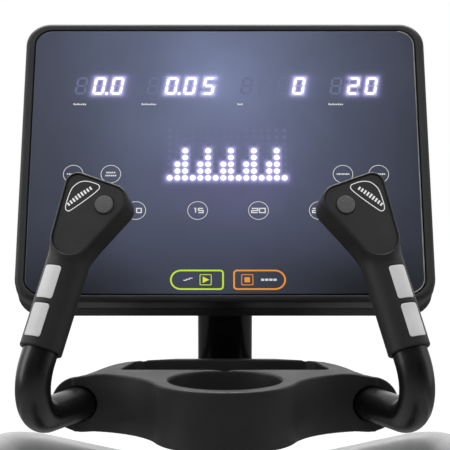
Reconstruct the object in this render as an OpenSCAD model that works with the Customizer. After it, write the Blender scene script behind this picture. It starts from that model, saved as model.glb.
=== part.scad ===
// Stair climber: a gym machine with two stepping pedals under a mast that carries a console, a tray and
// two curved handlebars. It stands on z = 0. x is to the user's right and y points away from the user.

/* [Base] */
// Overall length of the machine along y
base_len = 1300; // [1200:10:1400]
// Overall width of the cross tubes along x
base_w = 740; // [680:10:800]
// Width of each cross tube along y
cross_w = 60; // [50:1:70]
// Height of the base tubes
tube_h = 50; // [40:1:60]
// Wall of the steel base tubes
tube_wall = 3; // [2:0.5:4]
// Gap between the floor and the base tubes
ground_gap = 40; // [36:1:50]
// Width of the spine rail
spine_w = 80; // [74:1:90]
// Diameter of a levelling foot's pad
foot_d = 50; // [40:1:56]
// Diameter of a transport wheel
wheel_d = 76; // [60:1:80]
// Width of a transport wheel
wheel_w = 24; // [18:1:30]

/* [Stepping gear] */
// Distance between the two pivots of a step arm
arm_len = 460; // [420:5:470]
// Distance from the arm's pivot up to the level link's pivot
link_rise = 80; // [76:1:95]
// Height of the arm's pivot over the floor
pivot_z = 320; // [310:1:340]
// Place of the arm's pivot along y
pivot_y = 200; // [190:1:215]
// Distance from the middle of the machine to the middle of a step arm
arm_x = 100; // [96:1:106]
// Width of a step arm
arm_w = 40; // [34:1:44]
// Height of a step arm
arm_h = 50; // [40:1:54]
// Angle of the arms over level when they rest on their upper stops
rest_angle = 22; // [16:1:24]
// Length of a pedal's foot plate
pedal_len = 370; // [330:5:380]
// Width of a pedal's foot plate
pedal_w = 165; // [150:1:175]
// Thickness of a pedal's foot plate
pedal_t = 30; // [24:1:32]
// Height of the toe stop over the foot plate
toe_h = 62; // [50:1:70]

/* [Drive] */
// Radius of the arm's quadrant that the chain lies on
quadrant_r = 140; // [134:1:144]
// Pitch radius of a clutch sprocket
sprocket_r = 30; // [26:1:34]
// Height of the clutch shaft over the floor
clutch_z = 500; // [492:1:510]
// Radius of the big pulley
big_pulley_r = 80; // [70:1:84]
// Radius of the alternator's pulley
small_pulley_r = 22; // [18:1:26]
// Diameter of the alternator
alternator_d = 120; // [100:1:124]
// Thickness of the drive plates
plate_t = 6; // [5:0.5:8]

/* [Covers] */
// Overall width of the shrouds
shroud_w = 330; // [320:2:350]
// Wall of the shrouds and of the console's case
shell_t = 3; // [2.5:0.1:3.5]
// Height of the shroud's flat top over the floor
shroud_top = 640; // [625:5:670]

/* [Mast and rails] */
// Width of the mast
mast_w = 54; // [50:1:60]
// Depth of the mast
mast_d = 95; // [85:1:100]
// Lean of the mast towards the user
mast_lean = 9; // [6:0.5:10]
// Diameter of the handrail tubes
rail_d = 38; // [32:1:40]
// Distance from the middle of the machine to the handrail beside the user
rail_x = 320; // [300:5:340]

/* [Console] */
// Height of the middle of the console's face
head_z = 1580; // [1500:5:1620]
// Place of the middle of the console's face along y
head_y = 250; // [240:1:260]
// Width of the console's face
face_w = 409; // [380:1:430]
// Height of the console's face
face_h = 314; // [300:1:330]
// Corner radius of the console's face
face_r = 25; // [18:1:30]
// Lean of the console's face away from the user
face_lean = 31.5; // [25:0.5:35]
// Depth of the console's side walls
case_depth = 32; // [30:1:36]
// Width of the display glass
glass_w = 391; // [364:1:392]
// Height of the display glass
glass_h = 299; // [286:1:300]
// Height of the LED digits
digit_h = 20.3; // [18:0.1:22]

/* [Tray and handlebars] */
// Distance from the middle of the console's face down to the tray's top
tray_drop = 194; // [190:1:205]
// Height of the tray
tray_h = 56; // [50:1:62]
// Diameter of the cup hole
cup_d = 104; // [90:1:106]
// Width of the tray's rim around the cup hole
cup_rim = 15; // [11:1:17]
// Diameter of the handlebar tubes
bar_d = 32; // [28:1:32]
// Bend radius of the handlebar under the grip
bar_bend = 39; // [36:1:42]
// Diameter of the hand grips
grip_d = 39; // [37:0.5:41]
// Thickness of a paddle head
head_t = 35; // [32:1:37]
// Diameter of a thumb button
button_d = 17; // [14:0.5:18]
// Travel of a thumb button
button_travel = 1.2; // [0.8:0.1:1.3]

/* [Hidden] */
$fn = 48;

// Colours
black_plastic = "#1d1e21";
grey_plastic = "#3b3c40";
frame_paint = "#26282c";
silver_paint = "#b9bcc1";
bare_steel = "#8f9296";
rubber_black = "#151515";
board_green = "#1f4a34";

// Clearances shared by pieces that meet
seat_gap = 0.3;
running_gap = 0.05;
past = 1;

// Places along y of the base pieces
rear_y = -base_len / 2;
front_y = base_len / 2;
base_top = ground_gap + tube_h;
rear_cross_y = rear_y + cross_w / 2;
wheel_y = front_y - wheel_d / 2;
wheel_z = wheel_d / 2 + 6;
wheel_bore = 5;
wheel_gap = 4;
front_cross_y = wheel_y - wheel_d / 2 - wheel_gap - cross_w / 2;
wheel_x = base_w / 2 - 110;
foot_x = base_w / 2 - 50;
lug_t = 5;
cap_t = 4;

// Pivots of the stepping gear in the y-z plane
arm_pivot = [pivot_y, pivot_z];
link_pivot = [pivot_y, pivot_z + link_rise];
arm_reach = arm_len * [-cos(rest_angle), sin(rest_angle)];
pedal_pivot = arm_pivot + arm_reach;
pedal_link_pivot = link_pivot + arm_reach;
pivot_r = 12.5;
link_pin_r = 8;
pedal_pin_r = 10;
bush_t = 3.5;
hub_r = 30;
link_w = 12;
link_h = 26;
link_hub_r = 16;
pedal_hub_r = 24;
ear_t = 6;
pedal_x = arm_x + 10;
pedal_gap = 6;
pad_t = 6;

// Drive plates and the pieces between them
floor_plate_t = 8;
plate_z = base_top + floor_plate_t;
inner_x = 37;
outer_x = arm_x + arm_w / 2 + 19;
clutch_pivot = [pivot_y - quadrant_r + sprocket_r, clutch_z];
clutch_shaft_r = 10;
sprocket_x = 60;
sprocket_t = 8;
bearing_r = 21;
alternator_pivot = [pivot_y + 130, base_top + 100];
alternator_w = 88;
pulley_w = 24;
belt_t = 3;
base_plate_w = 2 * outer_x + 24;
base_plate_from = clutch_pivot[0] - 60;
base_plate_to = alternator_pivot[0] + 70;
drum_r = 38;
drum_w = 22;

// Mast
tray_z = head_z - tray_drop;
mast_back = 20;
mast_wall = 3;
mast_r = 20;
mast_top = head_z - 120;
function mast_y(z) = head_y + mast_back + (tray_z - z) * tan(mast_lean);
flange_t = 6;
flange_len = 48;
rail_flange_h = 60;
bar_flange_h = 44;
flange_x = mast_w / 2 + flange_t;

// Console, in its own frame: x across, y up the face, z out of the face
face_drop = 1.5;
bezel_depth = 18;
ledge_z = -3.5;
glass_t = 3;
glass_drop = 1.2;
glass_r = 18;
hump_depth = 75;
hump_y = -20;
board_t = 1.6;
led_h = 6.5;
display_board_z = ledge_z - led_h;
control_board_z = -hump_depth + shell_t + 12;
console_screw_x = face_w / 2 - 10;
console_screw_r = 1.6;

// Tray, in the machine's frame but with y counted from the console's middle
cup_y = -185;
cup_depth = tray_h - 3;
recess_depth = 22;
tray_fillet = 80;
deck_front = -147;
boss_x = 137;
boss_len = 18;
deck_points = [[-boss_x, deck_front], [-124, -133], [-115, -116], [-107, -100], [-96, -85], [-77, -75],
  [-48, -65], [48, -65], [77, -75], [96, -85], [107, -100], [115, -116], [124, -133], [boss_x, deck_front]];
recess_points = [[-100, -131], [-87, -86], [-78, -77], [0, -73.5], [78, -77], [87, -86], [100, -131]];

// Left handlebar: wall point, corner under the grip, and the lean of the grip
bar_wall = 2.5;
bar_exit = [-132, head_y - 134, head_z - 224];
bar_corner = [-182, head_y - 268, head_z - 220];
grip_yaw = -10;
grip_lean = 25;
grip_tilt = 11.5;
grip_start = 69;
grip_end = 162;
bar_end = 152;
grip_axis = [cos(grip_yaw) * sin(grip_tilt) - sin(grip_yaw) * sin(grip_lean) * cos(grip_tilt),
  sin(grip_yaw) * sin(grip_tilt) + cos(grip_yaw) * sin(grip_lean) * cos(grip_tilt),
  cos(grip_lean) * cos(grip_tilt)];

// Paddle head, in the grip's frame: x across, z along the grip, front towards -y
head_circles = [[-8.5, 222.5, 12], [26.3, 214.5, 15.5], [1, 173, grip_d / 2]];
head_front = grip_d / 2;
rim_t = 2.3;
face_sink = 1.2;
cover_t = 2;
button_x = 21.7;
button_u = 208.7;
button_proud = 1.4;
button_lip_t = 1.2;
button_stem = 3.6;
switch_pocket_r = 11;
switch_depth = 12;
plate_rows = [77, 113];
plate_len = 31;
plate_arc = 54;
plate_turn = 22;
plate_inset = 0.8;

// Left handrail: a loop from the mast, back beside the user and forward again
rail_wall = 2.5;
rail_z = head_z - 344;
rail_loop = 225;
rail_path = [[-flange_x + past, mast_y(rail_z), rail_z], [-216, mast_y(rail_z) - 28, rail_z + 46],
  [-rail_x, -70, rail_z + 34], [-rail_x, -410, rail_z + 18], [-rail_x, -370, rail_z - 178],
  [-rail_x, -70, rail_z - 190], [-205, mast_y(rail_z - 215) - 40, rail_z - 205],
  [-flange_x + past, mast_y(rail_z - rail_loop), rail_z - rail_loop]];
rail_bends = [55, 160, 80, 80, 150, 55];
sleeve_t = 3;
plug_in = 1;
plug_step = 0.1;

function unit(v) = v / norm(v);
function half_turn(a, b, c) = acos(unit(b - a) * unit(c - b)) / 2;
function setback(path, bends, i) = i == 0 || i == len(path) - 1 ? 0 :
  bends[i - 1] * tan(half_turn(path[i - 1], path[i], path[i + 1]));

// Both sides: the children as drawn, and mirrored across the middle plane
module both_sides() {
  children();
  mirror([1, 0, 0]) children();
}

// A rounded rectangle about the origin
module rounded_rect(w, h, r) {
  square([w - 2 * r, h], center = true);
  square([w, h - 2 * r], center = true);
  for (x = [-1, 1], y = [-1, 1]) translate([x * (w / 2 - r), y * (h / 2 - r)]) circle(r);
}

// Places children so that their z axis runs from one point towards another
module along(from, to) {
  d = unit(to - from);
  side = unit(cross(abs(d[2]) < 0.9 ? [0, 0, 1] : [1, 0, 0], d));
  up = cross(d, side);
  multmatrix([[side[0], up[0], d[0], from[0]], [side[1], up[1], d[1], from[1]],
    [side[2], up[2], d[2], from[2]], [0, 0, 0, 1]]) children();
}

// A quarter or other part of a ring that joins two straight rods at a corner
module elbow(a, corner, b, bend, r) {
  u = unit(corner - a);
  v = unit(b - corner);
  half = half_turn(a, corner, b);
  centre = corner + unit(v - u) * bend / cos(half);
  out = (corner - u * bend * tan(half) - centre) / bend;
  axis = cross(out, u);
  multmatrix([[out[0], u[0], axis[0], centre[0]], [out[1], u[1], axis[1], centre[1]],
    [out[2], u[2], axis[2], centre[2]], [0, 0, 0, 1]])
    rotate_extrude(angle = 2 * half) translate([bend, 0]) circle(r);
}

// A rod of radius r along a path of points, with a bend radius at each inner point
// The straight stretches are a hair thinner than the bends and end a little inside them
module bent_rod(path, bends, r) {
  last = len(path) - 1;
  for (i = [0 : last - 1]) {
    d = unit(path[i + 1] - path[i]);
    from = path[i] + d * (setback(path, bends, i) - (i == 0 ? 0 : plug_in));
    to = path[i + 1] - d * (setback(path, bends, i + 1) - (i == last - 1 ? 0 : plug_in));
    along(from, to) cylinder(h = norm(to - from), r = r - plug_step);
  }
  for (i = [1 : last - 1]) elbow(path[i - 1], path[i], path[i + 1], bends[i - 1], r);
}

// A tube: the rod with its inside taken out through both ends
module bent_tube(path, bends, r, wall) {
  last = len(path) - 1;
  longer = [for (i = [0 : last]) i == 0 ? path[0] - unit(path[1] - path[0]) * past :
    i == last ? path[last] + unit(path[last] - path[last - 1]) * past : path[i]];
  difference() {
    bent_rod(path, bends, r);
    bent_rod(longer, bends, r - wall);
  }
}

// A cylinder along x, centred on x = cx, at a point of the y-z plane
module across(cx, at, w, r) {
  translate([cx - w / 2, at[0], at[1]]) rotate([0, 90, 0]) cylinder(h = w, r = r);
}

// A plate cut from a y-z outline, from x = cx - w/2 to cx + w/2
module side_plate(cx, w) {
  translate([cx - w / 2, 0, 0]) rotate([90, 0, 90]) linear_extrude(w) children();
}

// A bar between two points of the y-z plane, of height h
module strut_outline(a, b, h) {
  d = b - a;
  translate(a) rotate(atan2(d[1], d[0])) translate([0, -h / 2]) square([norm(d), h]);
}

// ---- Base ----

// A square tube of the base, centred in x and y, with its wall left standing
module base_tube(w, l) {
  translate([0, 0, ground_gap + tube_h / 2]) difference() {
    cube([w, l, tube_h], center = true);
    if (w > l) cube([w + 2 * past, l - 2 * tube_wall, tube_h - 2 * tube_wall], center = true);
    else cube([w - 2 * tube_wall, l + 2 * past, tube_h - 2 * tube_wall], center = true);
  }
}

module spine_rail() {
  from = rear_cross_y + cross_w / 2;
  to = front_cross_y - cross_w / 2;
  color(frame_paint) translate([0, (from + to) / 2, 0]) base_tube(spine_w, to - from);
}

module foot_holes(y) {
  for (x = [-foot_x, foot_x]) translate([x, y, 0]) cylinder(h = base_top + past, r = 6);
}

module wheel_lugs() {
  for (side = [-1, 1], face = [-1, 1])
    side_plate(side * wheel_x + face * (wheel_w / 2 + 1.5 + lug_t / 2), lug_t) difference() {
      hull() {
        translate([wheel_y, wheel_z]) circle(12);
        translate([front_cross_y + cross_w / 2 - past, ground_gap + 6]) square([past, tube_h - 12]);
      }
      translate([wheel_y, wheel_z]) circle(wheel_bore);
    }
}

module front_cross_tube() {
  color(frame_paint) {
    difference() {
      translate([0, front_cross_y, 0]) base_tube(base_w - 2 * cap_t, cross_w);
      foot_holes(front_cross_y);
    }
    wheel_lugs();
  }
}

module rear_cross_tube() {
  color(frame_paint) difference() {
    translate([0, rear_cross_y, 0]) base_tube(base_w - 2 * cap_t, cross_w);
    foot_holes(rear_cross_y);
  }
}

module tube_end_caps() {
  color(rubber_black) for (y = [front_cross_y, rear_cross_y]) both_sides()
    translate([base_w / 2 - cap_t, y, ground_gap + tube_h / 2]) rotate([0, 90, 0]) {
      linear_extrude(cap_t) rounded_rect(tube_h, cross_w, 6);
      translate([0, 0, -18]) linear_extrude(18)
        square([tube_h - 2 * tube_wall, cross_w - 2 * tube_wall], center = true);
    }
}

module levelling_feet() {
  color(rubber_black) for (y = [front_cross_y, rear_cross_y], x = [-foot_x, foot_x]) translate([x, y, 0]) {
    cylinder(h = 14, r = foot_d / 2);
    translate([0, 0, 14]) cylinder(h = ground_gap - 22, r = 14);
    translate([0, 0, ground_gap - 8]) cylinder(h = 8, r = 11);
    translate([0, 0, ground_gap]) cylinder(h = tube_h + 8, r = 6);
  }
}

// The wheel turns on its bolt, which the lugs hold
module transport_wheel(side) {
  color(rubber_black) translate([side * wheel_x, wheel_y, wheel_z]) rotate([0, 90, 0]) difference() {
    union() {
      cylinder(h = wheel_w - 8, r = wheel_d / 2, center = true);
      cylinder(h = wheel_w, r = wheel_d / 2 - 6, center = true);
    }
    cylinder(h = wheel_w + past, r = wheel_bore + running_gap, center = true);
  }
}

// ---- Drive frame ----

module drive_base_plate() {
  color(frame_paint) translate([-base_plate_w / 2, base_plate_from, base_top])
    cube([base_plate_w, base_plate_to - base_plate_from, floor_plate_t]);
}

module inner_plate_outline() {
  difference() {
    offset(r = 8) offset(delta = -8) polygon([[clutch_pivot[0] - 30, plate_z],
      [alternator_pivot[0] + 62, plate_z], [alternator_pivot[0] + 62, alternator_pivot[1] + 50],
      [pivot_y + 60, link_pivot[1] + 40], [clutch_pivot[0] + 46, clutch_z + 34],
      [clutch_pivot[0] - 34, clutch_z + 34], [clutch_pivot[0] - 34, clutch_z - 60],
      [pivot_y - 60, pivot_z + 20], [pivot_y - 60, pivot_z - 60]]);
    translate(arm_pivot) circle(pivot_r);
    translate(link_pivot) circle(link_pin_r);
    translate(clutch_pivot) circle(bearing_r);
    translate(alternator_pivot) circle(14);
  }
}

module outer_plate_outline() {
  difference() {
    polygon([[pivot_y - 70, plate_z], [pivot_y + 80, plate_z], [pivot_y + 34, link_pivot[1] + 30],
      [pivot_y - 34, link_pivot[1] + 30]]);
    translate(arm_pivot) circle(pivot_r);
    translate(link_pivot) circle(link_pin_r);
  }
}

module drive_plates() {
  color(frame_paint) for (side = [-1, 1]) {
    side_plate(side * inner_x, plate_t) inner_plate_outline();
    side_plate(side * outer_x, plate_t) outer_plate_outline();
  }
}

module pivot_shafts() {
  from = inner_x - plate_t / 2;
  to = outer_x + plate_t / 2 + 4;
  color(bare_steel) for (side = [-1, 1]) {
    across(side * (from + to) / 2, arm_pivot, to - from, pivot_r);
    across(side * (from + to) / 2, link_pivot, to - from, link_pin_r);
  }
}

// ---- Stepping gear, drawn on the right; the left is its mirror image ----

module quadrant_outline() {
  difference() {
    union() {
      circle(hub_r);
      intersection() {
        difference() {
          circle(quadrant_r - 2);
          circle(quadrant_r - 24);
        }
        polygon([[0, 0], 2 * quadrant_r * [-cos(-14), sin(-14)], 2 * quadrant_r * [-cos(18), sin(18)],
          2 * quadrant_r * [-cos(48), sin(48)]]);
      }
      for (spoke = [-10, 44]) rotate(180 - spoke) translate([0, -9]) square([quadrant_r - 10, 18]);
    }
    circle(pivot_r + bush_t);
  }
}

module step_arm() {
  hub_from = sprocket_x - sprocket_t / 2;
  hub_to = arm_x + arm_w / 2;
  color(frame_paint) difference() {
    union() {
      side_plate(arm_x, arm_w) strut_outline(arm_pivot, pedal_pivot, arm_h);
      across((hub_from + hub_to) / 2, arm_pivot, hub_to - hub_from, hub_r);
      across(arm_x, pedal_pivot, arm_w, pedal_hub_r);
      side_plate(sprocket_x, sprocket_t) translate(arm_pivot) quadrant_outline();
    }
    side_plate(arm_x, arm_w - 8) strut_outline(arm_pivot + arm_reach * 0.1, arm_pivot + arm_reach * 0.93,
      arm_h - 8);
    across(arm_x, arm_pivot, 2 * arm_w + 60, pivot_r + bush_t);
    across(arm_x, pedal_pivot, arm_w + 2 * past, pedal_pin_r + bush_t);
  }
}

module ring_across(cx, at, w, r_out, r_in) {
  difference() {
    across(cx, at, w, r_out);
    across(cx, at, w + 2 * past, r_in);
  }
}

module arm_bushes() {
  hub_from = sprocket_x - sprocket_t / 2;
  hub_to = arm_x + arm_w / 2;
  bush_w = 16;
  color("#b08d57") {
    for (cx = [hub_from + bush_w / 2, hub_to - bush_w / 2])
      ring_across(cx, arm_pivot, bush_w, pivot_r + bush_t, pivot_r + running_gap);
    ring_across(arm_x, pedal_pivot, arm_w, pedal_pin_r + bush_t, pedal_pin_r + running_gap);
  }
}

module level_link() {
  color(bare_steel) difference() {
    union() {
      side_plate(arm_x, link_w) strut_outline(link_pivot, pedal_link_pivot, link_h);
      for (at = [link_pivot, pedal_link_pivot]) across(arm_x, at, link_w + 8, link_hub_r);
    }
    for (at = [link_pivot, pedal_link_pivot]) across(arm_x, at, 3 * link_w, link_pin_r + running_gap);
  }
}

// The foot plate stands behind the two pivots; its ears hold both pins
module pedal_outline() {
  front = pedal_pivot[0] - pedal_hub_r - pedal_gap;
  hull() {
    translate(pedal_pivot) circle(pedal_hub_r - 2);
    translate(pedal_link_pivot) circle(link_hub_r + 2);
    translate([front - 12, pedal_pivot[1] - pedal_t / 2]) square([4, pedal_t + toe_h]);
  }
}

module pedal_frame() {
  front = pedal_pivot[0] - pedal_hub_r - pedal_gap;
  deck_z = pedal_pivot[1] - pedal_t / 2;
  ear_x = arm_w / 2 + seat_gap + ear_t / 2;
  color(grey_plastic) {
    for (side = [-1, 1]) side_plate(arm_x + side * ear_x, ear_t) pedal_outline();
    across(arm_x, pedal_pivot, 2 * ear_x, pedal_pin_r);
    across(arm_x, pedal_link_pivot, 2 * ear_x, link_pin_r);
    translate([pedal_x, front - pedal_len / 2, deck_z]) difference() {
      linear_extrude(pedal_t) rounded_rect(pedal_w, pedal_len, 22);
      translate([0, 0, pedal_t - 4]) linear_extrude(4 + past)
        rounded_rect(pedal_w - 12, pedal_len - 24, 16);
      translate([0, 0, -past]) linear_extrude(pedal_t - 10 + past)
        rounded_rect(pedal_w - 16, pedal_len - 16, 16);
    }
    translate([pedal_x - pedal_w / 2 + 16, front - 12, deck_z + pedal_t - past])
      cube([pedal_w - 32, 8, toe_h + past]);
  }
}

module pedal_pad() {
  front = pedal_pivot[0] - pedal_hub_r - pedal_gap;
  deck_z = pedal_pivot[1] - pedal_t / 2;
  ribs = 12;
  rib_pitch = (pedal_len - 60) / ribs;
  color(rubber_black) translate([pedal_x, front - pedal_len / 2, deck_z + pedal_t - 4]) {
    linear_extrude(pad_t) rounded_rect(pedal_w - 12.6, pedal_len - 24.6, 15.7);
    for (i = [0.5 : 1 : ribs]) translate([0, -ribs * rib_pitch / 2 + i * rib_pitch, pad_t])
      linear_extrude(1.5) rounded_rect(pedal_w - 34, rib_pitch / 2, 4);
  }
}

// ---- Drive ----

module clutch_sprocket() {
  teeth = 15;
  color(bare_steel) side_plate(sprocket_x, sprocket_t - 3) translate(clutch_pivot) difference() {
    union() {
      circle(sprocket_r - 5);
      for (i = [0 : teeth - 1]) rotate(i * 360 / teeth) translate([0, -2.2]) square([sprocket_r - 1.8, 4.4]);
    }
    circle(clutch_shaft_r + running_gap);
  }
  color(bare_steel) ring_across(sprocket_x - 7, clutch_pivot, 8, 19, clutch_shaft_r + running_gap);
}

// The chain hangs from the sprocket to the quadrant's rim; the rest is wound on the sprocket
module drive_chains() {
  band = 5;
  inner_r = sprocket_r + seat_gap - 1.5;
  color(bare_steel) for (side = [-1, 1]) side_plate(side * sprocket_x, sprocket_t) translate(clutch_pivot) {
    difference() {
      circle(inner_r + band);
      circle(inner_r);
      translate([-2 * sprocket_r, -2 * sprocket_r]) square([2 * sprocket_r, 2 * sprocket_r]);
    }
    translate([-inner_r - band, pivot_z - clutch_z]) square([band, clutch_z - pivot_z]);
  }
}

module return_spring_drums() {
  drum_x = sprocket_x + sprocket_t / 2 + drum_w / 2 + 1;
  color(black_plastic) for (side = [-1, 1]) ring_across(side * drum_x, clutch_pivot, drum_w, drum_r,
    clutch_shaft_r + seat_gap);
}

module clutch_shaft() {
  drum_end = sprocket_x + sprocket_t / 2 + drum_w + 3;
  color(bare_steel) across(0, clutch_pivot, 2 * drum_end, clutch_shaft_r);
}

module drive_pulley() {
  color(bare_steel) difference() {
    union() {
      across(0, clutch_pivot, pulley_w, big_pulley_r);
      across(0, clutch_pivot, pulley_w + 16, 20);
    }
    across(0, clutch_pivot, pulley_w + 20, clutch_shaft_r);
    for (side = [-1, 1]) ring_across(side * pulley_w / 2, clutch_pivot, 12, big_pulley_r - 10, 26);
  }
}

module shaft_bearings() {
  color(bare_steel) for (side = [-1, 1]) ring_across(side * inner_x, clutch_pivot, 12, bearing_r,
    clutch_shaft_r + running_gap);
}

module belt_outline(grow) {
  hull() {
    translate(clutch_pivot) circle(big_pulley_r + grow);
    translate(alternator_pivot) circle(small_pulley_r + grow);
  }
}

module drive_belt() {
  color(rubber_black) side_plate(0, pulley_w - 6) difference() {
    belt_outline(seat_gap + belt_t);
    belt_outline(seat_gap);
  }
}

module alternator() {
  from = inner_x + plate_t / 2;
  color(bare_steel) difference() {
    union() {
      across(from + alternator_w / 2, alternator_pivot, alternator_w, alternator_d / 2);
      for (turn = [30 : 60 : 330]) across(from + alternator_w / 2,
        alternator_pivot + (alternator_d / 2 - 2) * [cos(turn), sin(turn)], alternator_w - 16, 5);
    }
    across(from, alternator_pivot, 2 * alternator_w - 20, clutch_shaft_r + seat_gap);
  }
}

module alternator_pulley() {
  to = inner_x + plate_t / 2 + alternator_w - 14;
  color(bare_steel) {
    across(0, alternator_pivot, pulley_w, small_pulley_r);
    across(to / 2, alternator_pivot, to, clutch_shaft_r);
  }
}

module power_module() {
  from = inner_x + plate_t / 2;
  w = outer_x - plate_t / 2 - from - 12;
  color(grey_plastic) translate([-from - w, pivot_y + 90, plate_z]) {
    cube([w, 110, 105]);
    for (i = [0 : 6]) translate([8 + i * (w - 20) / 6, 12, 105]) cube([4, 86, 12]);
  }
}

// ---- Covers ----

module shroud_outline() {
  rear = clutch_pivot[0] - big_pulley_r - 28;
  front = front_cross_y + 22;
  low = base_top + 3;
  offset(r = 42) offset(delta = -42) polygon([[rear - 4, low], [rear + 2, shroud_top - 60],
    [rear + 70, shroud_top], [mast_y(shroud_top) + 95, shroud_top], [front - 50, shroud_top - 90],
    [front - 8, shroud_top - 290], [front, low]]);
}

// Slot that lets the arm and its link swing
module arm_slot() {
  rear = clutch_pivot[0] - big_pulley_r - 28;
  low = pivot_z - (pivot_y - rear + 30) * tan(rest_angle + 2) - arm_h;
  high = link_pivot[1] + (pivot_y - rear + 30) * tan(rest_angle + 2) + link_h;
  translate([arm_x - arm_w / 2 - 6, rear - 30, low]) cube([arm_w + 12, 80, high - low]);
}

// Right half shell, split at the middle plane, with bosses that sit on the outer plate
module shroud() {
  wall_x = shroud_w / 2 - shell_t;
  plate_face = outer_x + plate_t / 2;
  difference() {
    union() {
      difference() {
        side_plate(shroud_w / 4, shroud_w / 2) shroud_outline();
        side_plate(wall_x / 2 - past, wall_x + 2 * past) offset(delta = -shell_t) shroud_outline();
      }
      for (at = [[pivot_y - 30, plate_z + 50], [pivot_y + 40, plate_z + 50], [pivot_y, link_pivot[1] + 16]])
        across((plate_face + wall_x + past) / 2, at, wall_x + past - plate_face, 8);
    }
    arm_slot();
    translate([-past, base_plate_from - past, base_top]) cube([base_plate_w / 2 + 2 * past,
      base_plate_to - base_plate_from + 2 * past, floor_plate_t]);
    mast_bar(seat_gap);
  }
}

module mast_collar() {
  color(rubber_black) difference() {
    translate([0, mast_y(shroud_top), shroud_top]) linear_extrude(20)
      rounded_rect(mast_w + 44, mast_d + 50, 30);
    mast_bar(seat_gap);
  }
}

// ---- Mast, rails and bolts ----

// The mast's solid, grown all round and cut level with the spine
module mast_bar(grow) {
  foot = base_top - 20;
  tall = (mast_top - foot) / cos(mast_lean);
  difference() {
    translate([0, mast_y(foot), foot]) rotate([mast_lean, 0, 0]) linear_extrude(tall)
      rounded_rect(mast_w + 2 * grow, mast_d + 2 * grow, mast_r + grow);
    translate([-100, mast_y(foot) - 200, base_top - 60]) cube([200, 400, 60]);
  }
}

module mast() {
  foot = base_top - 40;
  tall = (mast_top - foot) / cos(mast_lean) + 40;
  color(frame_paint) difference() {
    mast_bar(0);
    translate([0, mast_y(foot), foot]) rotate([mast_lean, 0, 0]) linear_extrude(tall)
      rounded_rect(mast_w - 2 * mast_wall, mast_d - 2 * mast_wall, mast_r - mast_wall);
  }
}

module mast_cable() {
  low = base_top;
  high = mast_top - 90;
  color(rubber_black) translate([0, mast_y(low) + 20, low]) rotate([mast_lean, 0, 0])
    cylinder(h = (high - low) / cos(mast_lean), r = 4);
}

module mast_flange(z, h) {
  translate([-flange_x, mast_y(z) - flange_len / 2, z - h / 2]) cube([flange_t, flange_len, h]);
}

module handrail() {
  color(silver_paint) {
    bent_tube(rail_path, rail_bends, rail_d / 2, rail_wall);
    mast_flange(rail_z, rail_flange_h);
    mast_flange(rail_z - rail_loop, rail_flange_h);
  }
}

module rail_sleeves() {
  a = rail_path[2];
  b = rail_path[3];
  from = a + unit(b - a) * 110;
  to = b - unit(b - a) * 110;
  color(rubber_black) both_sides() along(from, to) difference() {
    cylinder(h = norm(to - from), r = rail_d / 2 + sleeve_t);
    translate([0, 0, -past]) cylinder(h = norm(to - from) + 2 * past, r = rail_d / 2);
  }
}

// Bolts: wheel axles, and those of the drive frame
module frame_bolts() {
  axle_w = wheel_w + 3 + 2 * lug_t;
  color(bare_steel) {
    for (side = [-1, 1]) {
      across(side * wheel_x, [wheel_y, wheel_z], axle_w + 2, wheel_bore);
      for (end = [-1, 1]) across(side * wheel_x + end * (axle_w / 2 + 3), [wheel_y, wheel_z], 6, 9);
    }
    for (x = [-1, 1] * (inner_x - 14), y = [pivot_y - 90, pivot_y + 20])
      translate([x, y, plate_z]) cylinder(h = 7, r = 8);
  }
}

// ---- Tray ----

module from_console_y() {
  translate([0, head_y, 0]) children();
}

// Seen from above: the cup's ring flows into the deck that carries the handlebars
module tray_plan() {
  offset(r = -tray_fillet) offset(r = tray_fillet) {
    translate([0, cup_y]) circle(cup_d / 2 + cup_rim);
    polygon(deck_points);
  }
}

// Round boss at each end that holds a handlebar
module tray_boss() {
  boss_r = tray_h / 2;
  translate([boss_x, deck_front + boss_len, tray_z - boss_r]) rotate([90, 0, 0])
    cylinder(h = boss_len, r = boss_r - plug_step);
}

module tray() {
  color(grey_plastic) difference() {
    from_console_y() difference() {
      union() {
        translate([0, 0, tray_z - tray_h]) linear_extrude(tray_h) tray_plan();
        both_sides() tray_boss();
      }
      difference() {
        translate([0, 0, tray_z - tray_h - past]) linear_extrude(tray_h + past - shell_t)
          offset(delta = -shell_t) tray_plan();
        both_sides() tray_boss();
        translate([0, cup_y, tray_z - tray_h]) cylinder(h = tray_h, r = cup_d / 2 + shell_t);
        translate([0, 0, tray_z - recess_depth - shell_t]) linear_extrude(recess_depth + shell_t)
          offset(delta = shell_t) recess_outline();
      }
      translate([0, cup_y, tray_z - cup_depth]) cylinder(h = tray_h, r = cup_d / 2);
      translate([0, 0, tray_z - recess_depth]) linear_extrude(recess_depth + past) recess_outline();
    }
    both_sides() bent_rod(bar_path, bar_bends, bar_d / 2 + seat_gap);
  }
}

module recess_outline() {
  offset(r = 6) offset(delta = -6) polygon(recess_points);
}

module tray_liner() {
  liner_t = 2;
  color(rubber_black) from_console_y() {
    translate([0, 0, tray_z - recess_depth]) linear_extrude(liner_t) offset(delta = -seat_gap) recess_outline();
    translate([0, cup_y, tray_z - cup_depth]) cylinder(h = liner_t, r = cup_d / 2 - seat_gap);
  }
}

// A plate under the tray with an upstand on the mast's front
module tray_bracket() {
  low = tray_z - tray_h;
  front = head_y + cup_y - 30;
  mast_face = mast_y(low) - mast_d / 2;
  color(frame_paint) difference() {
    union() {
      translate([-40, front, low - 4]) cube([80, mast_face + 6 - front, 4]);
      translate([-20, mast_face - 14, low - 50]) cube([40, 34, 50]);
    }
    mast_bar(0);
  }
}

// ---- Handlebars ----

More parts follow.
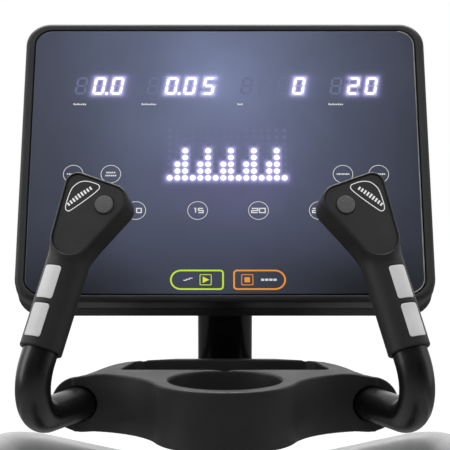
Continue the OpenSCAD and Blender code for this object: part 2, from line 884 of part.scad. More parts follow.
bar_root_z = bar_exit[2] - 4;
bar_root_y = mast_y(bar_root_z) - 8;
bar_bends = [36, 60, bar_bend];
bar_path = [[-flange_x + past, bar_root_y, bar_root_z], [-62, bar_root_y, bar_root_z],
  bar_exit - 60 * unit(bar_corner - bar_exit), bar_corner, bar_corner + grip_axis * bar_end];

module handlebar() {
  color("#101012") {
    bent_tube(bar_path, bar_bends, bar_d / 2, bar_wall);
    mast_flange(bar_root_z, bar_flange_h);
  }
}

// Children in the left grip's frame: z along the grip, -y towards the user
module on_grip() {
  translate(bar_corner) rotate([0, 0, grip_yaw]) rotate([-grip_lean, 0, 0]) rotate([0, grip_tilt, 0])
    children();
}

module head_outline(shrink) {
  hull() for (c = head_circles) translate([c[0], c[1]]) circle(c[2] - shrink);
}

// An x-z outline with its front face at y = front and its back behind it
module facing_user(front, depth) {
  translate([0, front + depth, 0]) rotate([90, 0, 0]) linear_extrude(depth) children();
}

// Curved contact plate between two radii of the grip
module pulse_shape(r_in, r_out) {
  for (row = plate_rows) translate([0, 0, row]) rotate(-90 - plate_turn - plate_arc / 2)
    rotate_extrude(angle = plate_arc) translate([r_in, 0]) square([r_out - r_in, plate_len]);
}

module grip() {
  color(grey_plastic) on_grip() difference() {
    union() {
      translate([0, 0, grip_start]) cylinder(h = grip_end - grip_start + 12, r = grip_d / 2);
      facing_user(-head_front, head_t) head_outline(0);
    }
    cylinder(h = bar_end, r = bar_d / 2);
    facing_user(-head_front - past, face_sink + cover_t + past) head_outline(rim_t);
    translate([button_x, -head_front + face_sink + cover_t + switch_depth, button_u]) rotate([90, 0, 0])
      cylinder(h = switch_depth + past, r = switch_pocket_r);
    pulse_shape(grip_d / 2 - plate_inset, grip_d / 2 + 2);
  }
}

module head_covers() {
  color(black_plastic) both_sides() on_grip() difference() {
    facing_user(-head_front + face_sink, cover_t) head_outline(rim_t);
    translate([button_x, 0, button_u]) rotate([90, 0, 0]) cylinder(h = head_t, r = button_d / 2 + seat_gap);
    cylinder(h = grip_end - 1, r = grip_d);
  }
}

// Board and switch at the bottom of the pocket behind the button
module switch_boards() {
  floor_y = -head_front + face_sink + cover_t + switch_depth;
  switch_h = switch_depth - board_t - button_stem - button_travel - seat_gap;
  color(board_green) both_sides() on_grip() translate([button_x, floor_y, button_u]) rotate([90, 0, 0]) {
    cylinder(h = board_t, r = switch_pocket_r - 0.5);
    translate([-3, -3, board_t]) cube([6, 6, switch_h]);
  }
}

module thumb_button() {
  front_y = -head_front + face_sink - button_proud;
  cover_back = -head_front + face_sink + cover_t;
  color("#8d9096") on_grip() translate([button_x, 0, button_u]) {
    translate([0, cover_back + seat_gap, 0]) rotate([90, 0, 0])
      cylinder(h = cover_back + seat_gap - front_y, r = button_d / 2);
    translate([0, cover_back + seat_gap + button_lip_t, 0]) rotate([90, 0, 0])
      cylinder(h = button_lip_t, r = button_d / 2 + 1);
    translate([0, cover_back + button_stem, 0]) rotate([90, 0, 0]) cylinder(h = button_stem - 1, r = 3);
  }
}

module pulse_plates() {
  color("#c9ccd0") both_sides() on_grip() pulse_shape(grip_d / 2 - plate_inset, grip_d / 2 + seat_gap);
}

// ---- Console ----

module on_console() {
  drop = face_drop * [0, sin(face_lean), cos(face_lean)];
  translate([0, head_y - drop[1], head_z - drop[2]]) rotate([90 - face_lean, 0, 0]) children();
}

module hump(shrink) {
  hull() {
    translate([0, hump_y, -case_depth]) linear_extrude(0.5) rounded_rect(300 - 2 * shrink, 210 - 2 * shrink, 40);
    translate([0, hump_y, -hump_depth + shrink]) linear_extrude(0.5)
      rounded_rect(230 - 2 * shrink, 140 - 2 * shrink, 34);
  }
}

module console_screw_places() {
  for (x = [-console_screw_x, console_screw_x], y = [-110, 0, 110]) translate([x, y, 0]) children();
}

module console_housing() {
  color(black_plastic) on_console() difference() {
    union() {
      difference() {
        union() {
          translate([0, 0, -case_depth]) linear_extrude(case_depth - bezel_depth)
            rounded_rect(face_w, face_h, face_r);
          hump(0);
        }
        translate([0, 0, -case_depth + shell_t]) linear_extrude(case_depth)
          rounded_rect(face_w - 2 * shell_t, face_h - 2 * shell_t, face_r - shell_t);
        hull() {
          hump(shell_t);
          translate([0, hump_y, -case_depth + shell_t]) linear_extrude(past)
            rounded_rect(300 - 2 * shell_t, 210 - 2 * shell_t, 37);
        }
      }
      for (x = [-60, 60], y = [-35, 35]) translate([x, hump_y + y, -hump_depth + shell_t / 2])
        cylinder(h = control_board_z + hump_depth - shell_t / 2, r = 4);
    }
    console_screw_places() translate([0, 0, -case_depth - past])
      cylinder(h = case_depth, r = console_screw_r);
  }
}

module console_bezel() {
  color(black_plastic) on_console() difference() {
    translate([0, 0, -bezel_depth]) linear_extrude(bezel_depth) rounded_rect(face_w, face_h, face_r);
    difference() {
      translate([0, 0, -bezel_depth - past]) linear_extrude(bezel_depth + past - 5.5)
        rounded_rect(face_w - 2 * shell_t, face_h - 2 * shell_t, face_r - shell_t);
      console_screw_places() translate([0, 0, -bezel_depth]) cylinder(h = bezel_depth - 4, r = 4.6);
    }
    translate([0, -glass_drop, -bezel_depth]) linear_extrude(bezel_depth)
      rounded_rect(glass_w - 12, glass_h - 12, glass_r - 6);
    translate([0, -glass_drop, ledge_z]) linear_extrude(10) rounded_rect(glass_w, glass_h, glass_r);
    console_screw_places() translate([0, 0, -bezel_depth - past])
      cylinder(h = bezel_depth - 8, r = console_screw_r);
  }
}

module display_glass() {
  color("#3a4256") on_console() translate([0, -glass_drop, ledge_z]) linear_extrude(glass_t)
    rounded_rect(glass_w, glass_h, glass_r);
}

module display_board() {
  color(board_green) on_console() translate([0, 0, display_board_z - board_t]) linear_extrude(board_t)
    rounded_rect(glass_w - 30, glass_h - 20, 8);
}

// Four groups of seven-segment digits over a dot matrix of 16 by 8
module led_modules() {
  groups = [[-127.9, 3], [-44.7, 4], [49, 4], [130.6, 3]];
  pitch = 18.4;
  matrix = 61;
  color("#2b2d33") on_console() translate([0, face_drop, display_board_z]) {
    for (g = groups, i = [0 : g[1] - 1]) translate([g[0] + (i - (g[1] - 1) / 2) * pitch, 80.6, 0])
      linear_extrude(led_h) square([pitch - seat_gap, digit_h + 5], center = true);
    for (side = [-0.5, 0.5]) translate([2.3 + side * (matrix + seat_gap), 1.3, 0])
      linear_extrude(led_h) square(matrix, center = true);
  }
}

module control_board() {
  color(board_green) on_console() translate([0, hump_y, control_board_z]) {
    translate([-75, -50, 0]) cube([150, 100, board_t]);
    translate([-20, -10, board_t]) cube([28, 28, 3]);
    translate([40, -40, board_t]) cube([18, 50, 10]);
    translate([-66, -30, board_t]) cube([16, 40, 8]);
  }
}

module console_screws() {
  color(bare_steel) on_console() console_screw_places() {
    translate([0, 0, -case_depth]) cylinder(h = case_depth - 11, r = console_screw_r);
    translate([0, 0, -case_depth - 2]) cylinder(h = 2, r = 3.4);
  }
}

// A plate on the console's hump with a tongue that plugs into the mast
module console_bracket() {
  tongue_low = mast_top - 60;
  tongue_w = mast_w - 2 * mast_wall - 1;
  tongue_d = mast_d - 2 * mast_wall - 1;
  color(frame_paint) {
    on_console() translate([-45, hump_y - 60, -hump_depth - 5]) cube([90, 110, 5]);
    difference() {
      translate([0, mast_y(tongue_low), tongue_low]) rotate([mast_lean, 0, 0]) linear_extrude(150)
        rounded_rect(tongue_w, tongue_d, mast_r - mast_wall - 0.5);
      on_console() translate([-150, -200, -hump_depth - 2]) cube([300, 400, 200]);
    }
  }
}

spine_rail();
front_cross_tube();
rear_cross_tube();
tube_end_caps();
levelling_feet();
transport_wheel(-1);  // transport_wheel_left
transport_wheel(1);  // transport_wheel_right
drive_base_plate();
drive_plates();
pivot_shafts();
mirror([1, 0, 0]) step_arm();  // step_arm_left
step_arm();  // step_arm_right
mirror([1, 0, 0]) arm_bushes();  // arm_bushes_left
arm_bushes();  // arm_bushes_right
mirror([1, 0, 0]) level_link();  // level_link_left
level_link();  // level_link_right
mirror([1, 0, 0]) pedal_frame();  // pedal_frame_left
pedal_frame();  // pedal_frame_right
mirror([1, 0, 0]) pedal_pad();  // pedal_pad_left
pedal_pad();  // pedal_pad_right
mirror([1, 0, 0]) clutch_sprocket();  // clutch_sprocket_left
clutch_sprocket();  // clutch_sprocket_right
drive_chains();
return_spring_drums();
clutch_shaft();
drive_pulley();
shaft_bearings();
drive_belt();
alternator();
alternator_pulley();
power_module();
color(black_plastic) mirror([1, 0, 0]) shroud();  // shroud_left
color(black_plastic) shroud();  // shroud_right
mast_collar();
mast();
mast_cable();
handrail();  // handrail_left
mirror([1, 0, 0]) handrail();  // handrail_right
rail_sleeves();
frame_bolts();
tray();
tray_liner();
tray_bracket();
handlebar();  // handlebar_left
mirror([1, 0, 0]) handlebar();  // handlebar_right
grip();  // grip_left
mirror([1, 0, 0]) grip();  // grip_right
head_covers();
switch_boards();
thumb_button();  // thumb_button_left
mirror([1, 0, 0]) thumb_button();  // thumb_button_right
pulse_plates();
console_bracket();
console_housing();
console_bezel();
display_glass();
display_board();
led_modules();
control_board();
console_screws();
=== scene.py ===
import math

import bpy
import numpy as np
from mathutils import Euler, Matrix, Vector
from mathutils.geometry import tessellate_polygon


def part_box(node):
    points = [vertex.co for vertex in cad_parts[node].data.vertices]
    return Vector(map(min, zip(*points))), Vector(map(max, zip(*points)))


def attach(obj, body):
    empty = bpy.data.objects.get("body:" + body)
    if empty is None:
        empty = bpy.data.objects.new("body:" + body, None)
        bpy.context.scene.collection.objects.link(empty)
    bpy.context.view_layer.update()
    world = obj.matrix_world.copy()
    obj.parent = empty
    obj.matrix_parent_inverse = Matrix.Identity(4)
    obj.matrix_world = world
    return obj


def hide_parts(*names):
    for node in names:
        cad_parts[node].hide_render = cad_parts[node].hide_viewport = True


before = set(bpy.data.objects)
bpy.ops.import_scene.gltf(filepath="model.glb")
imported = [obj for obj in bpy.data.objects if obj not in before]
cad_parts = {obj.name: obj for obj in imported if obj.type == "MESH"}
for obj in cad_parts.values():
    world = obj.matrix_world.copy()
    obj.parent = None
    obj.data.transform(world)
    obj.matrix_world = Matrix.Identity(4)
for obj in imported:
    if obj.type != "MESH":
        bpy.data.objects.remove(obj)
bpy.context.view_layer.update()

# ---- Sizes in millimetres, as the CAD part has them ----

FACE_LEAN = 31.5
FACE_W, FACE_H, FACE_R = 409, 314, 25
BEZEL_DEPTH, CASE_DEPTH, HUMP_DEPTH, HUMP_Y = 18, 32, 75, -20
GLASS_W, GLASS_H, GLASS_R, GLASS_DROP, LEDGE_Z, GLASS_T = 391, 299, 18, 1.2, -3.5, 3
FACE_DROP = 1.5
MAST_W, MAST_D, MAST_LEAN = 54, 95, 9
BAR_R, BAR_BEND, GRIP_R = 16, 39, 19.5
GRIP_START, GRIP_END, BAR_END = 69, 162, 152
GRIP_YAW, GRIP_LEAN, GRIP_TILT = -10, 25, 11.5
HEAD_T, HEAD_RIM, FACE_SINK, COVER_SINK = 35, 2.6, 1.2, 2.2
HEAD_CIRCLES = ((-8.5, 222.5, 12), (26.3, 214.5, 15.5), (1, 173, GRIP_R))
BUTTON_R, BUTTON_X, BUTTON_U, BUTTON_PROUD = 8.5, 21.7, 208.7, 1.4


def box_mm(node):
    """The corners of a node's box, in millimetres."""
    low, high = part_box(node)
    return low * 1000, high * 1000


# ---- Places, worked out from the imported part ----

glass_low, glass_high = box_mm("display_glass")
CONSOLE_TURN = Euler((math.radians(90 - FACE_LEAN), 0, 0)).to_matrix().to_4x4()
glass_middle = (glass_low + glass_high) / 2
console_origin = glass_middle - CONSOLE_TURN @ Vector((0, -GLASS_DROP, LEDGE_Z + GLASS_T / 2))
CONSOLE = Matrix.Translation(console_origin) @ CONSOLE_TURN
FACE_MIDDLE = CONSOLE @ Vector((0, FACE_DROP, 0))
TRAY_TOP = box_mm("tray")[1].z
TRAY_H = TRAY_TOP - box_mm("tray")[0].z
TRAY = Matrix.Translation((0, FACE_MIDDLE.y, TRAY_TOP))
BAR_EXIT = FACE_MIDDLE + Vector((-132, -134, -224))
BAR_CORNER = FACE_MIDDLE + Vector((-182, -268, -220))
MIRROR = Matrix.Diagonal((-1, 1, 1, 1))
GRIP = (Matrix.Translation(BAR_CORNER) @ Matrix.Rotation(math.radians(GRIP_YAW), 4, "Z")
        @ Matrix.Rotation(math.radians(-GRIP_LEAN), 4, "X") @ Matrix.Rotation(math.radians(GRIP_TILT), 4, "Y"))
GRIPS = (("left", GRIP), ("right", MIRROR @ GRIP))


def mast_y(z):
    """The middle of the mast along y at a height."""
    return FACE_MIDDLE.y + 20 + (TRAY_TOP - z) * math.tan(math.radians(MAST_LEAN))


# ---- Camera ----

CAMERA_AWAY, CAMERA_UP, CAMERA_DIP, CAMERA_LENS = 1.9794, 0.120, 5.47, 158.64


def add_object(name, data):
    made = bpy.data.objects.new(name, data)
    bpy.context.scene.collection.objects.link(made)
    return made


camera = add_object("camera", bpy.data.cameras.new("camera"))
camera.location = FACE_MIDDLE / 1000 + Vector((0, -CAMERA_AWAY, CAMERA_UP))
camera.rotation_euler = (math.radians(90 - CAMERA_DIP), 0, 0)
camera.data.sensor_width = 36
camera.data.lens = CAMERA_LENS
camera.data.clip_start = 0.05
bpy.context.scene.camera = camera


# ---- Materials ----

def tone(*levels):
    """A linear colour from one grey or three display values of 0 to 255."""
    values = levels * 3 if len(levels) == 1 else levels
    return [(v / 255 / 12.92 if v < 10.3 else ((v / 255 + 0.055) / 1.055) ** 2.4) for v in values] + [1]


class Graph:
    """Short ways to add nodes to a node tree."""

    def __init__(self, tree):
        self.tree = tree

    def set(self, node, key, value):
        node.inputs[key].default_value = value

    def node(self, kind, feeds=None, **settings):
        """A new node with its settings, and the sockets or values its inputs are fed with."""
        made = self.tree.nodes.new(kind)
        for key, value in settings.items():
            setattr(made, key, value)
        for key, value in (feeds or {}).items():
            if isinstance(value, bpy.types.NodeSocket):
                self.link(value, made.inputs[key])
            else:
                self.set(made, key, value)
        return made

    def link(self, source, target):
        self.tree.links.new(source, target)

    def remap(self, value, low, high, to_low, to_high):
        return self.node("ShaderNodeMapRange", {"Value": value, "From Min": low, "From Max": high,
                                                "To Min": to_low, "To Max": to_high}).outputs["Result"]

    def mix(self, factor, a, b, blend="MIX"):
        """One colour between two others."""
        return self.node("ShaderNodeMix", {0: factor, 6: a, 7: b}, data_type="RGBA", blend_type=blend).outputs[2]

    def pick(self, factor, a, b):
        """One number between two others."""
        return self.node("ShaderNodeMix", {0: factor, 2: a, 3: b}).outputs[0]

    def times(self, a, b):
        return self.node("ShaderNodeMath", {0: a, 1: b}, operation="MULTIPLY").outputs[0]


class Finish(Graph):
    """A Principled material with procedural layers added to it."""

    def __init__(self, name, colour, roughness, **inputs):
        self.material = bpy.data.materials.new(name)
        self.material.use_nodes = True
        super().__init__(self.material.node_tree)
        self.shader = self.tree.nodes["Principled BSDF"]
        self.colour = colour
        self.set(self.shader, "Base Color", colour)
        self.set(self.shader, "Roughness", roughness)
        for key, value in inputs.items():
            self.set(self.shader, key.replace("_", " "), value)
        self.place = self.node("ShaderNodeTexCoord").outputs["Object"]

    def noise(self, scale, detail=3, stretch=None):
        place = self.place
        if stretch:
            place = self.node("ShaderNodeMapping", {"Vector": place, "Scale": stretch}).outputs["Vector"]
        return self.node("ShaderNodeTexNoise", {"Vector": place, "Scale": scale, "Detail": detail}).outputs["Fac"]

    def cells(self, scale):
        return self.node("ShaderNodeTexVoronoi", {"Vector": self.place, "Scale": scale}).outputs["Distance"]

    def mottle(self, scale, light, dark, detail=4):
        """The colour wanders between two shares of itself."""
        a = [c * dark for c in self.colour[:3]] + [1]
        b = [c * light for c in self.colour[:3]] + [1]
        factor = self.remap(self.noise(scale, detail), 0.3, 0.7, 0, 1)
        self.link(self.mix(factor, a, b), self.shader.inputs["Base Color"])
        return self

    def smudge(self, scale, low, high):
        """The roughness wanders, as on a handled surface."""
        self.link(self.remap(self.noise(scale, 5), 0.3, 0.7, low, high), self.shader.inputs["Roughness"])
        return self

    def bump(self, height, depth, strength=1.0):
        """One more layer of relief, depth metres high."""
        normal = self.shader.inputs["Normal"]
        feeds = {"Height": height, "Distance": depth, "Strength": strength}
        if normal.links:
            feeds["Normal"] = normal.links[0].from_socket
        self.link(self.node("ShaderNodeBump", feeds).outputs["Normal"], normal)
        return self


def moulded(name, level, roughness, grain=1500, depth=0.00012):
    """Plastic with a fine spark-eroded grain."""
    made = Finish(name, tone(level), roughness)
    made.mottle(35, 1.12, 0.9).smudge(28, roughness - 0.05, roughness + 0.07)
    made.bump(made.cells(grain), depth).bump(made.noise(grain * 2.4, 2), depth * 0.5)
    return made.material


def painted(name, level, roughness, peel=420, coat=0.0, gloss=0.5):
    """Powder coat or lacquer with orange peel."""
    levels = level if isinstance(level, tuple) else (level,)
    made = Finish(name, tone(*levels), roughness, Coat_Weight=coat, Coat_Roughness=0.06, Specular_IOR_Level=gloss)
    made.mottle(22, 1.08, 0.93).smudge(18, roughness - 0.04, roughness + 0.06)
    made.bump(made.noise(peel, 2), 0.00016, 0.5)
    return made.material


def brushed(name, level, roughness, stretch=(40, 900, 900), metallic=1.0):
    """Metal with fine drawn lines."""
    made = Finish(name, tone(level), roughness, Metallic=metallic)
    lines = made.noise(1, 4, stretch)
    made.mottle(30, 1.06, 0.9)
    made.link(made.remap(lines, 0.2, 0.8, roughness - 0.07, roughness + 0.1), made.shader.inputs["Roughness"])
    made.bump(lines, 0.00005, 0.5)
    return made.material


def foam(name, level):
    """Closed-cell foam or rubber with pores."""
    made = Finish(name, tone(level), 0.72, Sheen_Weight=0.12)
    made.mottle(60, 1.2, 0.85)
    made.bump(made.cells(900), 0.0004).bump(made.noise(2600, 2), 0.0001)
    return made.material


GREY_PLASTIC = moulded("grey_plastic", 43, 0.45)
# The grips' grey plastic made lighter for the head faces: painted light.
LIT_FACE_PLASTIC = moulded("lit_face_plastic", 56, 0.42)
BLACK_PLASTIC = moulded("black_plastic", 38, 0.4)
CASE_PLASTIC = moulded("case_plastic", 46, 0.4, 1100, 0.0001)
# Near-black copy of the case plastic: painted shade for the housing behind and under the bezel.
SHADED_CASE_PLASTIC = moulded("shaded_case_plastic", 7, 0.6)
BAR_PAINT = painted("bar_paint", 4, 0.29, 300, 0.0, 0.95)
FRAME_PAINT = painted("frame_paint", 46, 0.36)
MAST_PAINT = painted("mast_paint", 5, 0.24, 300, 0.1)
SILVER_PAINT = painted("silver_paint", 178, 0.36)
BARE_STEEL = brushed("bare_steel", 165, 0.34)
PULSE_METAL = brushed("pulse_metal", 240, 0.5, (500, 500, 60), 0.08)
BRONZE = brushed("bronze", 150, 0.4)
RUBBER = foam("rubber", 30)
SLEEVE_FOAM = foam("sleeve_foam", 34)
BOARD_GREEN = painted("board_green", (20, 84, 52), 0.3)
GASKET = moulded("gasket", 8, 0.6)
SHROUD_PLASTIC = moulded("shroud_plastic", 40, 0.46, 900, 0.00014)
PANEL_PAINT = painted("panel_paint", 120, 0.34)


def button_material():
    """Grey plastic with a coarse leather-like dimple."""
    made = Finish("button_plastic", tone(104), 0.5)
    made.mottle(900, 1.25, 0.75)
    made.bump(made.cells(1300), 0.0005).bump(made.noise(3000), 0.0002)
    return made.material


BUTTON_PLASTIC = button_material()


def glow_material(name, colour, strength):
    made = Finish(name, colour, 0.5, Emission_Color=colour, Emission_Strength=strength)
    made.mottle(700, 1.04, 0.96)
    return made.material


LED_WHITE = glow_material("led_white", (0.9, 0.9, 1, 1), 1.15)
# Painted glow: unlit segments and dots glow faintly, and the unlit segments of lit digits a little more, though these
# LEDs are off.
LED_OFF = Finish("led_off", tone(100, 108, 140), 0.3, Emission_Color=tone(96, 102, 128), Emission_Strength=0.36)
LED_OFF = LED_OFF.mottle(400, 1.1, 0.85).material
LED_SHADED = glow_material("led_shaded", tone(150, 146, 196), 0.55)
# Light grey for a painted highlight along the right edge of the glass.
GLASS_EDGE_HIGHLIGHT = Finish("glass_edge_highlight", tone(150), 0.25).mottle(60, 1.3, 0.7).material
# Print colours with a faint painted glow added to them.
PRINT_WHITE = glow_material("print_white", tone(226), 0.25)
PRINT_LIME = glow_material("print_lime", tone(190, 225, 40), 0.35)
PRINT_ORANGE = glow_material("print_orange", tone(240, 150, 40), 0.35)
PRINT_YELLOW = glow_material("print_yellow", tone(225, 225, 40), 0.35)
LABEL_WHITE = glow_material("label_white", tone(230), 0.35)


def glass_material():
    """Smoked glass with painted light in its colour: a pale blue painted reflection towards its top middle, a lighter
    grey pool at its left, a violet painted glow round the lit matrix, and painted shade darker low at both sides.
    """
    made = Finish("display_glass", tone(62, 66, 78), 0.07, Coat_Weight=0.6, Coat_Roughness=0.03)
    middle = FACE_MIDDLE / 1000

    def painted_light_pool(x, z, width, height):
        mapping = made.node("ShaderNodeMapping", {"Vector": made.place, "Location": (x, middle.y, z),
                                                  "Scale": (width, 10, height)}, vector_type="TEXTURE")
        return made.node("ShaderNodeTexGradient", {"Vector": mapping.outputs["Vector"]},
                         gradient_type="QUADRATIC_SPHERE").outputs["Fac"]

    # Painted reflection: a pale blue pool towards the top middle of the glass.
    base = made.mix(painted_light_pool(-0.01, middle.z + 0.075, 0.34, 0.36), tone(46, 49, 60), tone(176, 194, 248))
    # Painted light and shade: a lighter grey pool at the left, a violet glow round the matrix, and dark pools low at
    # both sides.
    for x, z, width, height, share, colour in (
            (-0.19, 0.01, 0.16, 0.2, 0.5, tone(108, 114, 138)), (0.01, -0.02, 0.13, 0.10, 0.6, tone(152, 146, 214)),
            (-0.14, -0.13, 0.1, 0.06, 0.8, tone(26, 30, 46)), (0.14, -0.13, 0.13, 0.07, 0.95, tone(14, 16, 26))):
        base = made.mix(made.remap(painted_light_pool(x, middle.z + z, width, height), 0, 1, 0, share), base, colour)
    cloud = made.remap(made.noise(9, 3), 0.3, 0.7, 0.86, 1.12)
    shade = made.mix(1.0, base, cloud, "MULTIPLY")
    shade = made.mix(1.0, shade, (0.6, 0.58, 0.56, 1), "MULTIPLY")
    made.link(shade, made.shader.inputs["Base Color"])
    glow = made.node("ShaderNodeAttribute", attribute_name="glow")
    made.link(glow.outputs["Color"], made.shader.inputs["Emission Color"])
    made.set(made.shader, "Emission Strength", 1.0)
    made.link(made.remap(made.noise(40, 5), 0.35, 0.7, 0.05, 0.12), made.shader.inputs["Roughness"])
    return made.material


GLASS = glass_material()


# ---- Meshes ----

class Form:
    """Points and faces of one closed piece, in millimetres in some local frame."""

    def __init__(self):
        self.points = []
        self.faces = []

    def ring(self, rows):
        start = len(self.points)
        self.points.extend(Vector(p) for p in rows)
        return list(range(start, len(self.points)))

    def bridge(self, a, b, closed=True):
        count = len(a)
        for i in range(count if closed else count - 1):
            j = (i + 1) % count
            self.faces.append((a[i], a[j], b[j], b[i]))

    def loft(self, rings, caps=True, closed=True, round_trip=False):
        made = [self.ring(r) for r in rings]
        for a, b in zip(made, made[1:]):
            self.bridge(a, b, closed)
        if round_trip:
            self.bridge(made[-1], made[0], closed)
        if caps:
            self.faces += [tuple(reversed(made[0])), tuple(made[-1])]

    def flat(self, loops, flip=False):
        """Fills the area between an outer loop and holes."""
        flattened = [i for loop in loops for i in loop]
        for tri in tessellate_polygon([[self.points[i] for i in loop] for loop in loops]):
            face = tuple(flattened[i] for i in tri)
            self.faces.append(tuple(reversed(face)) if flip else face)


def lofted(rings, **ends):
    """A form that is one loft."""
    form = Form()
    form.loft(rings, **ends)
    return form


SMOOTH_ANGLE = 35


def put(name, form, place, material, body="frame", replaces=None, slot=None, normals=None):
    """Makes a piece of a form: place takes its millimetres to the machine's frame."""
    mesh = bpy.data.meshes.new(name)
    flip = place.determinant() < 0
    faces = [tuple(reversed(f)) for f in form.faces] if flip else form.faces
    mesh.from_pydata([(place @ p) / 1000 for p in form.points], [], faces)
    mesh.validate()
    mesh.materials.append(material)
    piece = add_object(name, mesh)
    mesh.shade_smooth()
    if normals is not None:
        turned = [(place.to_3x3().inverted().transposed() @ Vector(n)).normalized() for n in normals]
        mesh.normals_split_custom_set_from_vertices(turned)
    else:
        mesh.set_sharp_from_angle(angle=math.radians(SMOOTH_ANGLE))
        piece.modifiers.new("normals", "WEIGHTED_NORMAL").keep_sharp = True
    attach(piece, body)
    if replaces:
        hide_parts(replaces)
    return piece


def soften(piece, width, angle):
    """Rounds the edges of a piece that are sharper than an angle."""
    bevel = piece.modifiers.new("bevel", "BEVEL")
    bevel.width, bevel.segments, bevel.limit_method = width, 2, "ANGLE"
    bevel.angle_limit = math.radians(angle)
    piece.modifiers.new("normals", "WEIGHTED_NORMAL").keep_sharp = True


def arc(cx, cy, radius, start, end, steps):
    """Points of an arc in a plane, angles in degrees."""
    angles = [math.radians(start + (end - start) * i / steps) for i in range(steps + 1)]
    return [(cx + radius * math.cos(a), cy + radius * math.sin(a)) for a in angles]


def rounded_rect(w, h, r, cx=0.0, cy=0.0, steps=10):
    """Outline of a rounded rectangle, anticlockwise, with the same number of points for any size."""
    x, y = w / 2 - r, h / 2 - r
    corners = ((x, y, 0), (-x, y, 90), (-x, -y, 180), (x, -y, 270))
    return [p for px, py, a in corners for p in arc(cx + px, cy + py, r, a, a + 90, steps)]


def circle_path(cx, cy, r, sides=40):
    angles = [2 * math.pi * i / sides for i in range(sides)]
    return [(cx + r * math.cos(a), cy + r * math.sin(a)) for a in angles]


def at_height(outline, z):
    return [(x, y, z) for x, y in outline]


def edge_steps(radius, steps=5):
    """Inset and drop of a quarter-round edge, from its side to its top."""
    angles = [math.pi / 2 * i / steps for i in range(steps + 1)]
    return [(radius * (1 - math.cos(a)), radius * (1 - math.sin(a))) for a in angles]


def slab(outline_at, low, high, edge):
    """A plate with a rounded upper edge. outline_at(inset) gives its outline."""
    rings = [at_height(outline_at(i), low + d) for i, d in reversed(edge_steps(0.2))]
    return lofted(rings + [at_height(outline_at(i), high - d) for i, d in edge_steps(edge)])


def sweep(path, radius, sides=40, section=None, closed=False, up=None):
    """A rod along a path, or any section of (side, up) offsets."""
    path = [Vector(p) for p in path]
    count = len(path)
    section = section or circle_path(0, 0, radius, sides)
    rings, side = [], None
    for i, p in enumerate(path):
        before = (p - path[i - 1]).normalized() if closed or i else None
        after = (path[(i + 1) % count] - p).normalized() if closed or i < count - 1 else None
        tangent = ((before or after) + (after or before)).normalized()
        wide = 1
        if up is not None:
            wide /= max(0.3, tangent.dot(after or before))
            side = tangent.cross(Vector(up)).normalized()
        elif side is None:
            side = tangent.orthogonal().normalized()
        else:
            side = (side - tangent * side.dot(tangent)).normalized()
        over = side.cross(tangent)
        rings.append([p + side * a * wide + over * b for a, b in section])
    return lofted(rings, caps=not closed, round_trip=closed)


def bent(points, bends, steps=14):
    """The centre line of a bent tube: straight stretches with a round bend at each inner point."""
    points = [Vector(p) for p in points]
    line = [points[0]]
    for before, corner, after, bend in zip(points, points[1:], points[2:], bends):
        u, v = (corner - before).normalized(), (after - corner).normalized()
        half = u.angle(v) / 2
        centre = corner + (v - u).normalized() * bend / math.cos(half)
        out = (corner - u * bend * math.tan(half) - centre)
        axis = u.cross(v).normalized()
        turns = max(3, int(steps * half * 2 / 1.2))
        line += [centre + Matrix.Rotation(2 * half * i / turns, 3, axis) @ out for i in range(turns + 1)]
    return line + [points[-1]]


# ---- Rounded solids given by a distance in millimetres, negative inside ----

def length(*parts):
    return np.sqrt(sum(p * p for p in parts))


def join(a, b, soft):
    h = np.maximum(soft - np.abs(a - b), 0) / soft
    return np.minimum(a, b) - h * h * soft / 4


def cut(a, b, soft):
    return -join(-a, b, soft)


def rect_field(x, y, w, h, r):
    qx, qy = np.abs(x) - (w / 2 - r), np.abs(y) - (h / 2 - r)
    return length(np.maximum(qx, 0), np.maximum(qy, 0)) + np.minimum(np.maximum(qx, qy), 0) - r


def thick(flat, z, low, high, edge):
    """A flat shape made thick, with rounded edges. The shape is given already shrunk by the edge."""
    b = np.abs(z - (low + high) / 2) - (high - low) / 2 + edge
    return np.minimum(np.maximum(flat, b), 0) + length(np.maximum(flat, 0), np.maximum(b, 0)) - edge


def squared_distance(point, a, b):
    """From a point, or arrays of them, to the stretch from a to b, in a plane or in space."""
    line = [q - p for p, q in zip(a, b)]
    away = [p - q for p, q in zip(point, a)]
    along = np.clip(sum(p * q for p, q in zip(away, line)) / sum(q * q for q in line), 0, 1)
    return sum((p - q * along) ** 2 for p, q in zip(away, line))


def polygon_field(x, y, corners):
    """Signed distance to a polygon."""
    shape = np.broadcast(x, y).shape
    best, inside = np.full(shape, 1e9), np.zeros(shape, bool)
    for (ax, ay), (bx, by) in zip(corners, corners[1:] + corners[:1]):
        best = np.minimum(best, squared_distance((x, y), (ax, ay), (bx, by)))
        crosses = (ay <= y) != (by <= y)
        reach = ax + (y - ay) * (bx - ax) / (by - ay or 1e-9)
        inside ^= crosses & (x < reach)
    return np.where(inside, -1, 1) * np.sqrt(best)


def hull_points(circles, shrink=0.0, steps=60):
    """Outline of the band round some circles, anticlockwise."""
    made = []
    for i in range(steps):
        a = 2 * math.pi * i / steps
        reach = [(cx * math.cos(a) + cy * math.sin(a) + r - shrink) for cx, cy, r in circles]
        cx, cy, r = circles[reach.index(max(reach))]
        made.append((cx + (r - shrink) * math.cos(a), cy + (r - shrink) * math.sin(a)))
    return made


